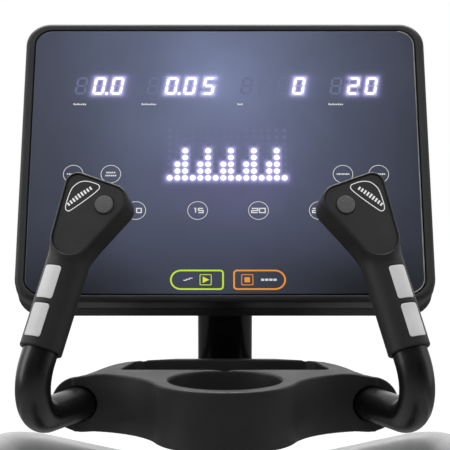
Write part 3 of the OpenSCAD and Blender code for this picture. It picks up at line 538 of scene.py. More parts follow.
def solid(field, low, high, cell):
    """The closed surface on which field is zero, as a form with exact normals."""
    axes = [np.arange(a - 2 * cell, b + 2 * cell, cell) for a, b in zip(low, high)]
    value = field(*np.meshgrid(*axes, indexing="ij", sparse=True))
    for k in range(3):
        edge = np.moveaxis(value, k, 0)
        edge[0], edge[-1] = np.maximum(edge[0], 0.01), np.maximum(edge[-1], 0.01)
    inside = value < 0
    shape = tuple(n - 1 for n in value.shape)
    total, count = np.zeros(shape + (3,)), np.zeros(shape)
    edges = []
    for axis in range(3):
        a, b = [slice(None)] * 3, [slice(None)] * 3
        a[axis], b[axis] = slice(None, -1), slice(1, None)
        a, b = tuple(a), tuple(b)
        where = np.argwhere(inside[a] != inside[b])
        if not len(where):
            continue
        va, vb = value[a][tuple(where.T)], value[b][tuple(where.T)]
        spot = where.astype(float)
        spot[:, axis] += va / (va - vb)
        others = [k for k in range(3) if k != axis]
        cells = []
        for du, dv in ((0, 0), (1, 0), (1, 1), (0, 1)):
            c = where.copy()
            c[:, others] -= (du, dv)
            cells.append(c)
            np.add.at(total, tuple(c.T), spot)
            np.add.at(count, tuple(c.T), 1)
        outward = inside[a][tuple(where.T)] ^ (axis != 1)
        edges.append((cells, outward))
    used = np.argwhere(count > 0)
    index = np.full(shape, -1)
    index[tuple(used.T)] = np.arange(len(used))
    spots = total[tuple(used.T)] / count[tuple(used.T)][:, None]
    points = spots * cell + np.array([a[0] for a in axes])
    hair = 0.02

    def slope(p):
        return np.stack([(field(*(p + d).T) - field(*(p - d).T)) / (2 * hair) for d in hair * np.eye(3)], 1)

    for _ in range(3):
        g = slope(points)
        step = field(*points.T)[:, None] * g / np.maximum((g * g).sum(1), 0.2)[:, None]
        points -= np.clip(step, -cell, cell)
    g = slope(points)
    normals = g / np.maximum(np.linalg.norm(g, axis=1), 1e-6)[:, None]
    form = Form()
    form.points = [Vector(p) for p in points]
    for cells, outward in edges:
        quads = np.stack([index[tuple(c.T)] for c in cells], 1)
        quads = np.where(outward[:, None], quads[:, ::-1], quads)
        form.faces += [tuple(q) for q in quads.tolist()]
    return form, normals


def put_solid(name, field, low, high, cell, place, material, **rest):
    form, normals = solid(field, low, high, cell)
    return put(name, form, place, material, normals=normals, **rest)


# ---- Console ----

def face_outline(inset):
    return rounded_rect(FACE_W - 2 * inset, FACE_H - 2 * inset, FACE_R - inset)


def pocket_outline(inset):
    return rounded_rect(GLASS_W - 2 * inset, GLASS_H - 2 * inset, GLASS_R - inset, 0, -GLASS_DROP)


def make_bezel():
    rings = [at_height(face_outline(1.2), -BEZEL_DEPTH), at_height(face_outline(0.2), -BEZEL_DEPTH + 0.8),
             at_height(face_outline(0), -BEZEL_DEPTH + 2)]
    rings += [at_height(face_outline(i), -d) for i, d in edge_steps(4.5, 8)]
    rings += [at_height(pocket_outline(-i), d - 1) for i, d in ((1, 1), (0.35, 0.8), (0, 0.2), (0, -2.5))]
    rings += [at_height(pocket_outline(6), LEDGE_Z), at_height(pocket_outline(6), -BEZEL_DEPTH)]
    form = lofted(rings, caps=False, round_trip=True)
    put("bezel", form, CONSOLE, CASE_PLASTIC, replaces="console_bezel", slot="black_plastic")
    ring = [(x, y, LEDGE_Z + 0.6) for x, y in pocket_outline(0.7)]
    put("glass_gasket", sweep(ring, 0.75, 8, closed=True), CONSOLE, GASKET, slot="rubber_black")


def make_glass():
    """The display glass, and a painted highlight: a light grey line along its right edge."""
    gap, lit_from = 1.1, 172
    form = slab(lambda i: pocket_outline(gap + i), LEDGE_Z + 0.1, GLASS_TOP, 0.9)
    put("glass", form, CONSOLE, GLASS, replaces="display_glass", slot="display_glass")
    # Painted highlight: a light grey rod along the glass's right edge only.
    lit = [(x, y, GLASS_TOP - 0.1) for x, y in pocket_outline(1.9) if x > lit_from]
    lit.sort(key=lambda p: -p[1])
    put("glass_edge_highlight", sweep(lit, 0.6, 8), CONSOLE, GLASS_EDGE_HIGHLIGHT, slot="display_glass")


GLASS_TOP = LEDGE_Z + GLASS_T + 0.15
SLANT = math.tan(math.radians(9))
DIGIT_H, DIGIT_W, STROKE = 20.3, 11.6, 2.5
DIGIT_MIDDLE = 80.6 + FACE_DROP
SEGMENTS = {"0": "abcdef", "2": "abged", "5": "afgcd", " ": ""}
READOUTS = ((-146, " 0.0", (0, 18.3, 36.5)), (-72.8, " 0.05", (0, 18.6, 37.4, 56.4)),
            (22.2, "   0", (0, 18, 36.3, 53.0)), (112.9, " 20", (0, 17.8, 35.8)))
MATRIX_X, MATRIX_Y, PITCH = -55, -24.7 + FACE_DROP, 7.62
BARS = (1, 3, 5) * 5 + (1,)
DOT_R = 2.75


def digit_strokes(cx, cy, lit):
    """Centre lines of the lit segments of a digit."""
    w, h = (DIGIT_W - STROKE) / 2, (DIGIT_H - STROKE) / 2
    lines = {"a": ((-w, h), (w, h)), "b": ((w, h), (w, 0)), "c": ((w, 0), (w, -h)), "d": ((-w, -h), (w, -h)),
             "e": ((-w, 0), (-w, -h)), "f": ((-w, h), (-w, 0)), "g": ((-w, 0), (w, 0))}

    def lean(p):
        return Vector((cx + p[0] + p[1] * SLANT, cy + p[1], 0))

    return [(lean(lines[s][0]), lean(lines[s][1])) for s in lit]


def segment_bar(form, a, b, z, share=1):
    """One six-cornered segment with a hair of thickness, or the unlit core of one."""
    along = (b - a).normalized()
    side = Vector((-along.y, along.x, 0))
    half, gap = STROKE / 2 * share, 0.35
    a, b = a + along * gap, b - along * gap
    outline = [a, a + (along + side) * half, b + (side - along) * half, b, b - (along + side) * half,
               a + (along - side) * half]
    form.loft([[p + Vector((0, 0, z - t)) for p in reversed(outline)] for t in (0.12, 0)])


def disc(form, x, y, r, z, sides=24, t=0.12):
    circle = circle_path(x, y, r, sides)
    form.loft([at_height(circle, z - t), at_height(circle, z)])


def display_parts():
    """Lit and unlit segments and dots."""
    lit, unlit, dim, strokes, dots = Form(), Form(), Form(), [], []
    z = GLASS_TOP + 0.1
    for x, text, places in READOUTS:
        text = text.replace(".", "")
        for place, figure in zip(places, text):
            on = digit_strokes(x + place, DIGIT_MIDDLE, SEGMENTS[figure])
            strokes += on
            for a, b in on:
                segment_bar(lit, a, b, z)
            for a, b in digit_strokes(x + place, DIGIT_MIDDLE, sorted(set("abcdefg") - set(SEGMENTS[figure]))):
                segment_bar(dim if on else unlit, a, b, z - 0.06, 0.4 if on else 1)
    for x in (-127.9 + 7.6, -54.2 + 7.6):
        dot = Vector((x, DIGIT_MIDDLE - DIGIT_H / 2 + 1.2, 0))
        disc(lit, dot.x, dot.y, 1.5, z)
        strokes.append((dot, dot + Vector((0.01, 0, 0))))
    for column, high in enumerate(BARS):
        for row in range(8):
            x, y = MATRIX_X + column * PITCH, MATRIX_Y + row * PITCH
            if row < high:
                disc(lit, x, y, DOT_R, z)
                dots.append((x, y))
            else:
                disc(unlit, x, y, DOT_R - 0.2, z - 0.06)
    put("lit_leds", lit, CONSOLE, LED_WHITE, slot="led_black")
    put("unlit_leds", unlit, CONSOLE, LED_OFF, slot="led_black")
    put("shaded_leds", dim, CONSOLE, LED_SHADED, slot="led_black")
    return strokes, dots


def glow_window(name, x_range, y_range, distance):
    """A thin film on the glass that carries the halo of the lit parts."""
    xs = np.arange(x_range[0], x_range[1] + 0.1, 1.2)
    ys = np.arange(y_range[0], y_range[1] + 0.1, 1.2)
    gx, gy = np.meshgrid(xs, ys, indexing="ij")
    far = distance(gx, gy)
    border = np.minimum(np.minimum(gx - xs[0], xs[-1] - gx), np.minimum(gy - ys[0], ys[-1] - gy))
    fade = np.clip(border / 8, 0, 1)
    near, wide = (np.exp(-np.maximum(far, 0) / reach) * fade for reach in (1.5, 5))
    form = lofted([[(x, y, GLASS_TOP + 0.02) for y in ys] for x in xs], caps=False, closed=False)
    halo = np.ones((far.size, 4))
    halo[:, :3] = np.outer(near, (0.46, 0.42, 0.74)) + np.outer(wide, (0.07, 0.06, 0.15))
    piece = put(name, form, CONSOLE, GLASS, slot="display_glass")
    piece.data.attributes.new("glow", "FLOAT_COLOR", "POINT").data.foreach_set("color", halo.ravel())


def make_display():
    strokes, dots = display_parts()

    def to_strokes(x, y):
        return np.sqrt(np.min([squared_distance((x, y), a.xy, b.xy) for a, b in strokes], axis=0)) - STROKE / 2

    def to_dots(x, y):
        return np.min([np.hypot(x - a, y - b) for a, b in dots], axis=0) - DOT_R

    glow_window("digit_window", (-160, 166), (DIGIT_MIDDLE - 20, DIGIT_MIDDLE + 20), to_strokes)
    glow_window("matrix_window", (MATRIX_X - 12, -MATRIX_X + 17), (MATRIX_Y - 12, MATRIX_Y + 66), to_dots)


def ribbon(form, path, width, z, closed=False, t=0.1):
    """A flat printed line."""
    section = [(-width / 2, 0), (width / 2, 0), (width / 2, t), (-width / 2, t)]
    line = sweep([(x, y, z) for x, y in path], 0, section=section, closed=closed, up=(0, 0, 1))
    start = len(form.points)
    form.points += line.points
    form.faces += [tuple(i + start for i in f) for f in line.faces]


def patch(form, outline, z, t=0.1):
    form.loft([at_height(outline, z - t), at_height(outline, z)])


FIGURES = {"0": [[(0, 0), (1, 0), (1, 1), (0, 1), (0, 0.0)]], "1": [[(0.45, 1), (0.75, 1), (0.75, 0)]],
           "2": [[(0, 1), (1, 1), (1, 0.52), (0, 0.48), (0, 0), (1, 0)]],
           "3": [[(0, 1), (1, 1), (1, 0), (0, 0)], [(0.15, 0.5), (1, 0.5)]],
           "5": [[(1, 1), (0, 1), (0, 0.52), (1, 0.48), (1, 0), (0, 0)]]}


def number(form, text, cx, cy, high, wide, gap, line, z):
    """A plain number drawn with strokes."""
    span = len(text) * wide + (len(text) - 1) * gap
    for k, figure in enumerate(text):
        left = cx - span / 2 + k * (wide + gap)
        for stroke in FIGURES[figure]:
            path = [(left + x * wide, cy + (y - 0.5) * high) for x, y in stroke]
            ribbon(form, path, line, z)


def stair_mark(form, cx, cy, w, h, line, z, steps=3):
    path = [(cx + (i + k) * w / steps - w / 2, cy + (i + 1) * h / steps - h / 2)
            for i in range(steps) for k in (0, 1)]
    ribbon(form, path, line, z)


def key_outline(round_x, square_x, y, half, corner=3):
    """A key with one round end and two small corners at the other."""
    way, turn = (1, 0) if square_x > round_x else (-1, 180)
    x, up = square_x - way * corner, way * (half - corner)
    return (arc(round_x + way * half, y, half, turn + 90, turn + 270, 24)
            + arc(x, y - up, corner, turn - 90, turn, 6) + arc(x, y + up, corner, turn, turn + 90, 6))


def make_legends():
    """Printed rings, numbers, plain marks in place of words, and the two coloured keys."""
    z = GLASS_TOP + 0.02
    white, lime, orange, yellow = Form(), Form(), Form(), Form()

    def mark(w, h, x, y, form=white, r=0.3):
        patch(form, rounded_rect(w, h, r, x, y, 2), z + 0.1)

    label_y, pitch = 59.3 + FACE_DROP, 1.9
    for x, w in ((-146.5, 14), (-76.1, 17), (16, 7), (112.7, 16)):
        for k in range(int(w / pitch)):
            high = 2.2 if k == 0 else 1.5 + 0.5 * (k % 3 == 2)
            mark(1.45, high, x - w / 2 + 0.8 + pitch * k, label_y - (2.2 - high) / 2)
    upper_y, lower_y, key_r = -20.5 + FACE_DROP, -61 + FACE_DROP, 9.8
    for x in (-151, -113.6, 117.4, 153):
        ribbon(white, circle_path(x, upper_y, key_r), 0.6, z, True)
    for x in (-151, 117.4, 153):
        for k in range(7):
            mark(1.4, 1.4 + 0.5 * (k % 2), x - 5.7 + pitch * k, upper_y)
    for row, count in ((1.7, 5), (-1.7, 6)):
        for k in range(count):
            mark(1.4, 1.7, -113.6 + pitch * (k - (count - 1) / 2), upper_y + row)
    for x, text in ((-148, "5"), (-88, "10"), (-27, "15"), (33, "20"), (93, "25"), (153, "30")):
        ribbon(white, circle_path(x, lower_y, key_r), 0.6, z, True)
        number(white, text, x, lower_y, 4.6, 4.6 if text[0] == "1" else 5.8, 1.7, 1.25, z)
    key_low, key_high, line = -146.8 + FACE_DROP, -125.2 + FACE_DROP, 0.9
    key_y, half = (key_low + key_high) / 2, (key_high - key_low) / 2 - line
    start_x, stop_x = -18.8, 21.6
    for form, outline, x in ((lime, key_outline(-53.4 + line, -1.0 - line, key_y, half), start_x),
                             (orange, key_outline(59.2 - line, 7.9 + line, key_y, half), stop_x)):
        ribbon(form, outline, 1.7, z, True)
        ribbon(form, rounded_rect(10.9, 10.9, 0.8, x, key_y, 3), 0.8, z, True)
    patch(yellow, [(start_x - 2.8, key_y - 3.4), (start_x + 3.6, key_y), (start_x - 2.8, key_y + 3.4)], z + 0.1)
    mark(5.4, 5.4, stop_x, key_y, orange, 0.4)
    stair_mark(white, -36, key_y, 9, 3.4, 0.9, z)
    for k in range(4):
        mark(3.2, 2.4, 36.5 + 4 * k, key_y)
    for form, material, name in ((white, PRINT_WHITE, "white_legends"), (lime, PRINT_LIME, "start_key"),
                                 (orange, PRINT_ORANGE, "stop_key"), (yellow, PRINT_YELLOW, "start_mark")):
        put(name, form, CONSOLE, material, slot="display_glass")


def make_housing():
    """The case behind the bezel: a plate with a hump, and vents in the hump, in plastic darkened as painted shade."""
    edge, under = 3, 8

    def field(x, y, z):
        plate = thick(rect_field(x, y, FACE_W - 1, FACE_H - 1, FACE_R) + edge, z, -CASE_DEPTH - under,
                      -BEZEL_DEPTH + 4.1 + edge, edge)
        taper = np.clip((-CASE_DEPTH - z) / (HUMP_DEPTH - CASE_DEPTH), 0, 1)
        shrink = 35 * taper + 10
        block = rect_field(x, y - HUMP_Y, 300, 210, 44) + shrink
        hump = thick(block, z, -HUMP_DEPTH, -CASE_DEPTH + 20, 10)
        body = np.maximum(join(plate, hump, 16), z + BEZEL_DEPTH)
        for k in range(-4, 5):
            slot = thick(rect_field(x - 16 * k, y - HUMP_Y, 6, 70, 2.9), z, -HUMP_DEPTH - 5, -HUMP_DEPTH + 4, 0.5)
            body = cut(body, slot, 1.5)
        return body

    put_solid("housing", field, (-FACE_W / 2, -FACE_H / 2, -HUMP_DEPTH), (FACE_W / 2, FACE_H / 2, -BEZEL_DEPTH),
              2.2, CONSOLE, SHADED_CASE_PLASTIC, replaces="console_housing", slot="black_plastic")


# ---- Tray ----

CUP_Y, CUP_R, CUP_RIM, RECESS_DEPTH = -185, 52, 15, 22
DECK_FRONT, DECK_FILLET, BOSS_X, BOSS_LEN = -147, 80, 137, 18
TRAY_WALL, END_DROP, DROP_X = 4, 5, 108
DECK_BACK = [(124, -133), (115, -116), (107, -100), (96, -85), (77, -75), (48, -65)]
RECESS = [(-100, -131), (-87, -86), (-78, -77), (0, -73.5), (78, -77), (87, -86), (100, -131)]
BAR_BENDS = (36, 60, BAR_BEND)


def bar_points():
    """Points of the left handlebar, from the mast to the end inside the grip."""
    root_z = BAR_EXIT.z - 4
    root_y = mast_y(root_z) - 8
    back = (BAR_CORNER - BAR_EXIT).normalized()
    grip_axis = GRIP.to_3x3() @ Vector((0, 0, 1))
    return [Vector((-MAST_W / 2 - 5, root_y, root_z)), Vector((-62, root_y, root_z)), BAR_EXIT - back * 60,
            BAR_CORNER, BAR_CORNER + grip_axis * BAR_END]


def shrunk(corners, inset):
    """A convex polygon with its edges moved inwards. Corners run clockwise."""
    lines = []
    for (ax, ay), (bx, by) in zip(corners, corners[1:] + corners[:1]):
        long = math.hypot(bx - ax, by - ay)
        nx, ny = (by - ay) / long, (ax - bx) / long
        lines.append((nx, ny, nx * (ax + nx * inset) + ny * (ay + ny * inset)))
    made = []
    for (a, b, c), (d, e, f) in zip(lines[-1:] + lines[:-1], lines):
        det = a * e - b * d
        made.append(((c * e - b * f) / det, (a * f - c * d) / det))
    return made


def tray_plan():
    """Outline from above: the cup's ring flows into the deck through two wide fillets."""
    ring = CUP_R + CUP_RIM
    fillet_y = DECK_FRONT - DECK_FILLET
    fillet_x = math.sqrt((ring + DECK_FILLET) ** 2 - (fillet_y - CUP_Y) ** 2)
    touch = math.degrees(math.atan2(fillet_y - CUP_Y, fillet_x))
    half = arc(0, CUP_Y, ring, -90, touch, 30) + arc(fillet_x, fillet_y, DECK_FILLET, touch + 180, 90, 30)[1:]
    half += [(BOSS_X, DECK_FRONT)] + DECK_BACK
    return half + [(-x, y) for x, y in reversed(half[1:])]


def tray_field(x, y, z):
    """The tray: deck, cup and end bosses, hollow from below, with the recess and the bars cut out."""
    side = np.abs(x)
    cup = length(x, y - CUP_Y)
    plan = polygon_field(x, y, tray_plan())
    end = TRAY_H / 2
    taper = 1.6 + 0.3 * np.clip(y - DECK_FRONT, 0, BOSS_LEN)
    boss = thick(length(side - BOSS_X, z + end + 2) - end + taper + 2.2, y, DECK_FRONT, DECK_FRONT + BOSS_LEN, 2.2)
    drop = END_DROP * np.clip((side - DROP_X) / (BOSS_X - DROP_X), 0, 1.5) ** 2 * np.clip(1 + z / TRAY_H, 0, 1)
    body = join(thick(plan + 2.2, z + drop, -TRAY_H, 0, 2.2), boss, 4)
    hollow = np.maximum(thick(plan + 6, z, -TRAY_H - 20, -TRAY_WALL, 1.5), -boss)
    recess = polygon_field(x, y, shrunk(RECESS, 6)) - 6
    cup_wall, recess_wall = cup - CUP_R - TRAY_WALL, recess - TRAY_WALL
    keep = np.where(z < -RECESS_DEPTH - TRAY_WALL, cup_wall, np.minimum(cup_wall, recess_wall))
    body = cut(body, np.maximum(hollow, -keep), 1.5)
    body = cut(body, np.maximum(recess, -RECESS_DEPTH - z), 1.6)
    body = cut(body, np.maximum(cup - CUP_R, -TRAY_H + TRAY_WALL - z), 3)
    for a, b in zip(BAR_LINE, BAR_LINE[1:]):
        body = cut(body, np.sqrt(squared_distance((side, y, z), a, b)) - BAR_R - 0.4, 1.2)
    return body


BAR_LINE = [TRAY.inverted() @ MIRROR @ p for p in bar_points()[1:4]]


def make_tray():
    put_solid("tray_shell", tray_field, (-167, -254, -TRAY_H), (167, -62, 0), 1.5, TRAY, GREY_PLASTIC,
              replaces="tray", slot="grey_plastic")


# ---- Handlebars and grips ----

def make_bars():
    path = bent(bar_points(), BAR_BENDS)
    for side, place in (("left", Matrix()), ("right", MIRROR)):
        put(f"bar_{side}", sweep(path, BAR_R, 48), place, BAR_PAINT, replaces=f"handlebar_{side}", slot="bar_paint")


def head_field(x, z, shrink):
    """Distance to the outline of the paddle head, shrunk."""
    return polygon_field(x, z, hull_points(HEAD_CIRCLES, shrink, 90))


PLATE_ROWS, PLATE_LEN, PLATE_ARC, PLATE_TURN = (77, 113), 31, 54, 22


def around_grip(x, y):
    """Distance round the grip, in millimetres, from the middle of the contact plates."""
    middle = math.radians(-90 - PLATE_TURN)
    angle = np.arctan2(y, x) - middle
    return (angle + math.pi) % (2 * math.pi) * GRIP_R - math.pi * GRIP_R


def grip_field(x, y, z):
    tube = length(x, y)
    handle = thick(tube - GRIP_R + 1.6, z, GRIP_START, GRIP_END + 20, 1.6)
    head = thick(head_field(x, z, 4), y, -GRIP_R, HEAD_T - GRIP_R, 4)
    body = join(handle, head, 7)
    face = head_field(x, z, HEAD_RIM)
    body = cut(body, np.maximum(face, y + GRIP_R - COVER_SINK - 2.1), 1.8)
    bore = np.maximum(tube - BAR_R - 0.2, z - BAR_END)
    body = cut(body, bore, 0.8)
    for row in PLATE_ROWS:
        pocket = rect_field(around_grip(x, y), z - row - PLATE_LEN / 2, PLATE_ARC / 57.3 * GRIP_R + 0.9,
                            PLATE_LEN + 0.9, 2.6)
        body = cut(body, np.maximum(pocket, GRIP_R - 0.7 - tube), 0.6)
    return body


def make_grips():
    form, normals = solid(grip_field, (-24, -22, GRIP_START), (46, 18, 238), 0.8)
    for side, grip in GRIPS:
        put(f"grip_body_{side}", form, grip, GREY_PLASTIC, replaces=f"grip_{side}", slot="grey_plastic",
            normals=normals)


def facing(grip, sink):
    """A frame on the head's face: x across, y along the grip, z towards the user."""
    return grip @ Matrix.Translation((0, sink - GRIP_R, 0)) @ Matrix.Rotation(math.radians(90), 4, "X")


def make_covers():
    """The sunk face of each head, with a round hole for its button."""
    outer = HEAD_RIM + 0.05
    hole, hole_low = (circle_path(BUTTON_X, BUTTON_U, BUTTON_R + gap, 48) for gap in (0.35, 0.75))
    for side, grip in GRIPS:
        form = Form()
        rim = [form.ring(at_height(hull_points(HEAD_CIRCLES, outer + i, 90), -d)) for i, d in edge_steps(0.7, 3)]
        base = form.ring(at_height(hull_points(HEAD_CIRCLES, outer, 90), -2))
        lip = [form.ring(at_height(c[::-1], z)) for c, z in ((hole_low, 0.0), (hole, -0.5), (hole, -2))]
        for a, b in (*zip([base] + rim, rim), *zip(lip, lip[1:])):
            form.bridge(a, b)
        form.flat([rim[-1], lip[0]])
        form.flat([base, lip[-1]], flip=True)
        # The face is in the lighter grey that paints light on it.
        put(f"head_face_{side}", form, facing(grip, COVER_SINK), LIT_FACE_PLASTIC, replaces="head_covers",
            slot="black_plastic")


def lathe(profile, sides=48):
    """A turned piece from (radius, height) pairs, from its bottom middle to its top middle."""
    return lofted([at_height(circle_path(0, 0, r, sides), z) for r, z in profile])


def make_buttons():
    profile = [(3, -4.7), (3, -4.4), (BUTTON_R + 0.9, -4.4), (BUTTON_R + 0.9, -3.3), (BUTTON_R, -3.3),
               (BUTTON_R, BUTTON_PROUD - 1.0)]
    profile += [(BUTTON_R - i, BUTTON_PROUD - d) for i, d in edge_steps(1.0, 4)][1:]
    profile += [(BUTTON_R * share, BUTTON_PROUD + 0.25 * (1 - share * share)) for share in (0.7, 0.45, 0.2, 0.05)]
    for side, grip in GRIPS:
        place = facing(grip, FACE_SINK) @ Matrix.Translation((BUTTON_X, BUTTON_U, 0))
        put(f"button_{side}", lathe(profile), place, BUTTON_PLASTIC, body=f"button_{side}",
            replaces=f"thumb_button_{side}", slot="button_plastic")


LABEL = [(-13.0, 198.1), (-9.6, 195.6), (-6.7, 197.0), (13.1, 221.4), (12.1, 225.6), (9.4, 226.5), (1.7, 227.4),
         (-3.8, 226.4), (-8.0, 224.2), (-11.9, 218.4), (-12.8, 213.3)]


def smooth_loop(points, rounds=2):
    """Cuts the corners of a closed outline, twice as fine each round."""
    for _ in range(rounds):
        points = [q for a, b in zip(points, points[1:] + points[:1])
                  for q in ((a[0] * 0.75 + b[0] * 0.25, a[1] * 0.75 + b[1] * 0.25),
                            (a[0] * 0.25 + b[0] * 0.75, a[1] * 0.25 + b[1] * 0.75))]
    return points


def make_labels():
    """A printed outline on each head with rising bars in it."""
    along = Vector((19.8, 24.4)).normalized()
    across = Vector((-along.y, along.x))
    for side, grip in GRIPS:
        form = Form()
        ribbon(form, smooth_loop(LABEL), 0.8, 0.0, True)
        for k in range(9):
            foot = Vector((-9.2, 201.2)) + along * (3.05 * k)
            top = foot + across * (3.4 + 0.3 * min(k, 8 - k))
            ribbon(form, [foot, top], 1.7, 0.0)
        put(f"head_label_{side}", form, facing(grip, COVER_SINK), LABEL_WHITE, slot="black_plastic")


def make_plates():
    """Curved metal contacts with rounded corners and a soft edge."""
    middle = math.radians(-90 - PLATE_TURN)
    wide = math.radians(PLATE_ARC) * GRIP_R
    for side, grip in GRIPS:
        form = Form()
        for row in PLATE_ROWS:
            rings = []
            for inset, height in ((0, -0.6), (0, 0.05), (0.12, 0.2), (0.35, 0.3), (0.8, 0.34), (2.5, 0.35), (5, 0.35),
                                  (7, 0.35), (7.9, 0.35)):
                outline = rounded_rect(wide - 2 * inset, PLATE_LEN - 2 * inset, max(0.2, 2.4 - inset * 0.3), steps=6)
                radius = GRIP_R + height
                rings.append([(radius * math.cos(middle + a / GRIP_R), radius * math.sin(middle + a / GRIP_R),
                               row + PLATE_LEN / 2 + u) for a, u in subdivided(outline)])
            form.loft(rings)
        put(f"pulse_contacts_{side}", form, grip, PULSE_METAL, replaces="pulse_plates", slot="pulse_metal")


def subdivided(outline, parts=4):
    """The same closed outline with more points on its straight stretches."""
    return [(a[0] + (b[0] - a[0]) * k / parts, a[1] + (b[1] - a[1]) * k / parts)
            for a, b in zip(outline, outline[1:] + outline[:1]) for k in range(parts)]


# ---- Shroud ----

SHROUD_W, SHROUD_WALL, SHROUD_R, SHROUD_EDGE = 330, 3, 42, 20
SEAM = 0.6
BAND, BAND_R = [(60, 470), (130, 560), (330, 560), (400, 470)], 14


def rounded_corners(corners, radius, inset, steps=8):
    """Anticlockwise outline of a convex polygon with round corners, moved inwards. Corners run clockwise."""
    centres = shrunk(corners, radius)
    made = []
    for k, (cx, cy) in enumerate(centres):
        (ax, ay), (bx, by), (dx, dy) = corners[k - 1], corners[k], corners[(k + 1) % len(corners)]
        start = math.degrees(math.atan2(bx - ax, ay - by))
        end = math.degrees(math.atan2(dx - bx, by - dy))
        if end > start:
            end -= 360
        made += arc(cx, cy, radius - inset, start, end, steps)
    return made[::-1]


def shroud_corners():
    low, high = box_mm("shroud_right")
    top, front = high.z, high.y
    rear = low.y + 4
    return [(rear - 4, low.z), (rear + 2, top - 60), (rear + 70, top), (mast_y(top) + 95, top),
            (front - 50, top - 90), (front - 8, top - 290), (front, low.z)]


def side_ring(corners, radius, x, inset):
    """A round-cornered outline that stands at x."""
    return [(x, y, z) for y, z in rounded_corners(corners, radius, inset)]


def carve(piece, cutters):
    """Cuts closed forms out of a piece."""
    holes = []
    for form in cutters:
        mesh = bpy.data.meshes.new("hole")
        mesh.from_pydata([p / 1000 for p in form.points], [], form.faces)
        holes.append(add_object("hole", mesh))
        cutting = piece.modifiers.new("cut", "BOOLEAN")
        cutting.operation, cutting.solver, cutting.object = "DIFFERENCE", "EXACT", holes[-1]
    bpy.context.view_layer.update()
    ready = piece.evaluated_get(bpy.context.evaluated_depsgraph_get())
    piece.modifiers.clear()
    piece.data = bpy.data.meshes.new_from_object(ready)
    for hole in holes:
        bpy.data.objects.remove(hole)


def block(low, high):
    """A box between two corners."""
    return lofted([at_height([(low[0], low[1]), (high[0], low[1]), (high[0], high[1]), (low[0], high[1])], z)
                   for z in (low[2], high[2])])


def shroud_cutters(side):
    """Arm slot, bottom opening, mast hole and side louvres of one half."""
    low, high = box_mm("shroud_right")
    slot = block((74, low.y - 30, 134), (126, low.y + 40, 520))
    plate_low, plate_high = box_mm("drive_base_plate")
    bottom = block((-1, plate_low.y, plate_low.z - 5), (plate_high.x + 0.5, plate_high.y, plate_high.z + 0.5))
    mast = [[(x, y + mast_y(z), z) for x, y in rounded_rect(MAST_W + 1, MAST_D + 3, 20)] for z in (500, 700)]
    made = [slot, bottom, lofted(mast)]
    for k in range(7):
        louvre = rounded_rect(96, 7, 3.4, 438 - 3 * k, 190 + 20 * k, 4)
        made.append(lofted([[(x, y, z) for y, z in louvre] for x in (150, 175)]))
    for form in made:
        if side < 0:
            form.points = [MIRROR @ p for p in form.points]
            form.faces = [tuple(reversed(f)) for f in form.faces]
    return made


def make_shroud():
    """Both halves with a soft outer edge, and a swept band along the upper front of each side."""
    outer, wall, corners = SHROUD_W / 2, SHROUD_WALL, shroud_corners()

    def ring(x, inset):
        return side_ring(corners, SHROUD_R, x, inset)

    rings = [ring(outer - wall - d, wall + i) for i, d in reversed(edge_steps(SHROUD_EDGE - wall))]
    rings += [ring(SEAM, wall), ring(SEAM, 0.8), ring(SEAM + 0.8, 0)]
    rings += [ring(outer - d, i) for i, d in edge_steps(SHROUD_EDGE, 8)]
    for side, name in ((-1, "left"), (1, "right")):
        place = Matrix() if side > 0 else MIRROR
        piece = put(f"cover_{name}", lofted(rings), place, SHROUD_PLASTIC, replaces=f"shroud_{name}",
                    slot="black_plastic")
        carve(piece, shroud_cutters(side))
        soften(piece, 0.0009, 40)
        panel = lofted([side_ring(BAND, BAND_R, outer + x, inset)
                        for x, inset in ((-0.3, 0), (0.2, 0), (0.9, 0.3), (1.2, 1))])
        put(f"cover_panel_{name}", panel, place, PANEL_PAINT, slot="silver_paint")


make_bezel()
make_glass()
make_display()
make_legends()
make_housing()
make_tray()
make_bars()
make_grips()
make_covers()
make_buttons()
make_labels()
make_plates()
make_shroud()


# ---- Pieces that keep their CAD shape ----

CAD_FINISHES = (
    (FRAME_PAINT, "spine_rail front_cross_tube rear_cross_tube drive_base_plate drive_plates step_arm_left "
                  "step_arm_right tray_bracket console_bracket"),
    (RUBBER, "tube_end_caps levelling_feet transport_wheel_left transport_wheel_right pedal_pad_left "
             "pedal_pad_right drive_belt mast_collar mast_cable tray_liner"),
    (BARE_STEEL, "pivot_shafts level_link_left level_link_right clutch_sprocket_left clutch_sprocket_right "
                 "drive_chains clutch_shaft drive_pulley shaft_bearings alternator alternator_pulley frame_bolts "
                 "console_screws"),
    (GREY_PLASTIC, "pedal_frame_left pedal_frame_right power_module"),
    (BLACK_PLASTIC, "return_spring_drums led_modules"),
    (BOARD_GREEN, "switch_boards display_board control_board"),
    (SILVER_PAINT, "handrail_left handrail_right"),
    (BRONZE, "arm_bushes_left arm_bushes_right"),
    (SLEEVE_FOAM, "rail_sleeves"),
    (MAST_PAINT, "mast"))


def dress(node, material):
    """Gives a CAD node its finish and rounds its sharp edges."""
    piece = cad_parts[node]
    piece.data.materials.clear()
    piece.data.materials.append(material)
    piece.modifiers.new("weld", "WELD").merge_threshold = 0.00001
    soften(piece, 0.0008, 35)


for material, nodes in CAD_FINISHES:
    for node in nodes.split():
        dress(node, material)


# ---- Studio ----

def lamp(name, place, target, size, power):
    data = bpy.data.lights.new(name, "AREA")
    data.shape = "RECTANGLE"
    data.size, data.size_y = size
    data.energy = power
    made = add_object(name, data)
    made.location = place
    made.rotation_euler = (Vector(target) - Vector(place)).to_track_quat("-Z", "Y").to_euler()
    return made


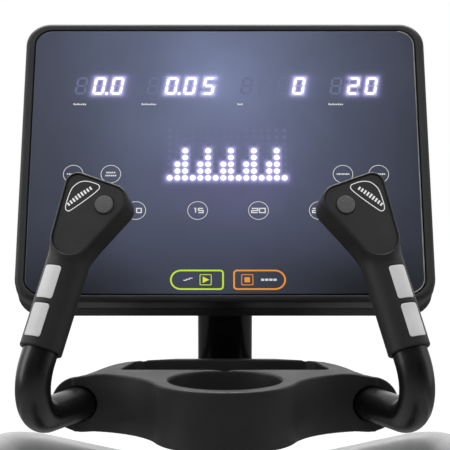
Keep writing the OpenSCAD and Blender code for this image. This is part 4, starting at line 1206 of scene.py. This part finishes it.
def make_world():
    """White to the camera. In reflections bright behind, dark ahead and dimmer to the sides."""
    world = bpy.data.worlds.new("studio")
    bpy.context.scene.world = world
    world.use_nodes = True
    graph = Graph(world.node_tree)
    path = graph.node("ShaderNodeLightPath").outputs
    coord = graph.node("ShaderNodeTexCoord").outputs["Generated"]
    split = graph.node("ShaderNodeSeparateXYZ", {"Vector": coord})
    plain = graph.remap(split.outputs["Y"], -0.7, 0.5, 0.1, 0.7)
    shine = graph.remap(plain, 0.1, 0.7, 0.08, 1.2)
    for near, far, low, high in ((0.1, 0.6, 1.0, 0.35), (-0.95, -0.6, 0.25, 1.0)):
        shine = graph.times(shine, graph.remap(split.outputs["X"], near, far, low, high))
    strength = graph.pick(path["Is Glossy Ray"], plain, shine)
    strength = graph.pick(path["Is Camera Ray"], strength, 1.0)
    background = graph.tree.nodes["Background"]
    graph.set(background, "Color", (1, 1, 1, 1))
    graph.link(strength, background.inputs["Strength"])


def make_floor():
    """A plain pale floor that keeps the machine's shadow."""
    reach, albedo, lift = 14, 0.32, 0.85
    mesh = bpy.data.meshes.new("floor")
    mesh.from_pydata([(-reach, -reach, 0), (reach, -reach, 0), (reach, reach, 0), (-reach, reach, 0)], [],
                     [(0, 1, 2, 3)])
    floor = add_object("floor", mesh)
    made = Finish("floor", (albedo, albedo, albedo, 1), 0.9, Emission_Color=(1, 1, 1, 1))
    seen = made.node("ShaderNodeLightPath").outputs["Is Camera Ray"]
    made.link(made.times(seen, lift), made.shader.inputs["Emission Strength"])
    mesh.materials.append(made.material)


make_world()
make_floor()
lamp("key", (0, 1.3, 3.5), (0, 0.1, 1.4), (2.4, 1.4), 55)
lamp("left", (-2.6, -0.2, 2.2), (0, 0.1, 1.2), (1.2, 2.2), 16)
lamp("right", (2.6, 0.2, 2.0), (0, 0.1, 1.2), (1.2, 2.2), 4)
lamp("fill", (0.7, -2.4, 3.7), (0, 0.1, 1.4), (3, 2), 46).visible_glossy = False

bpy.context.scene.view_settings.view_transform = "Standard"
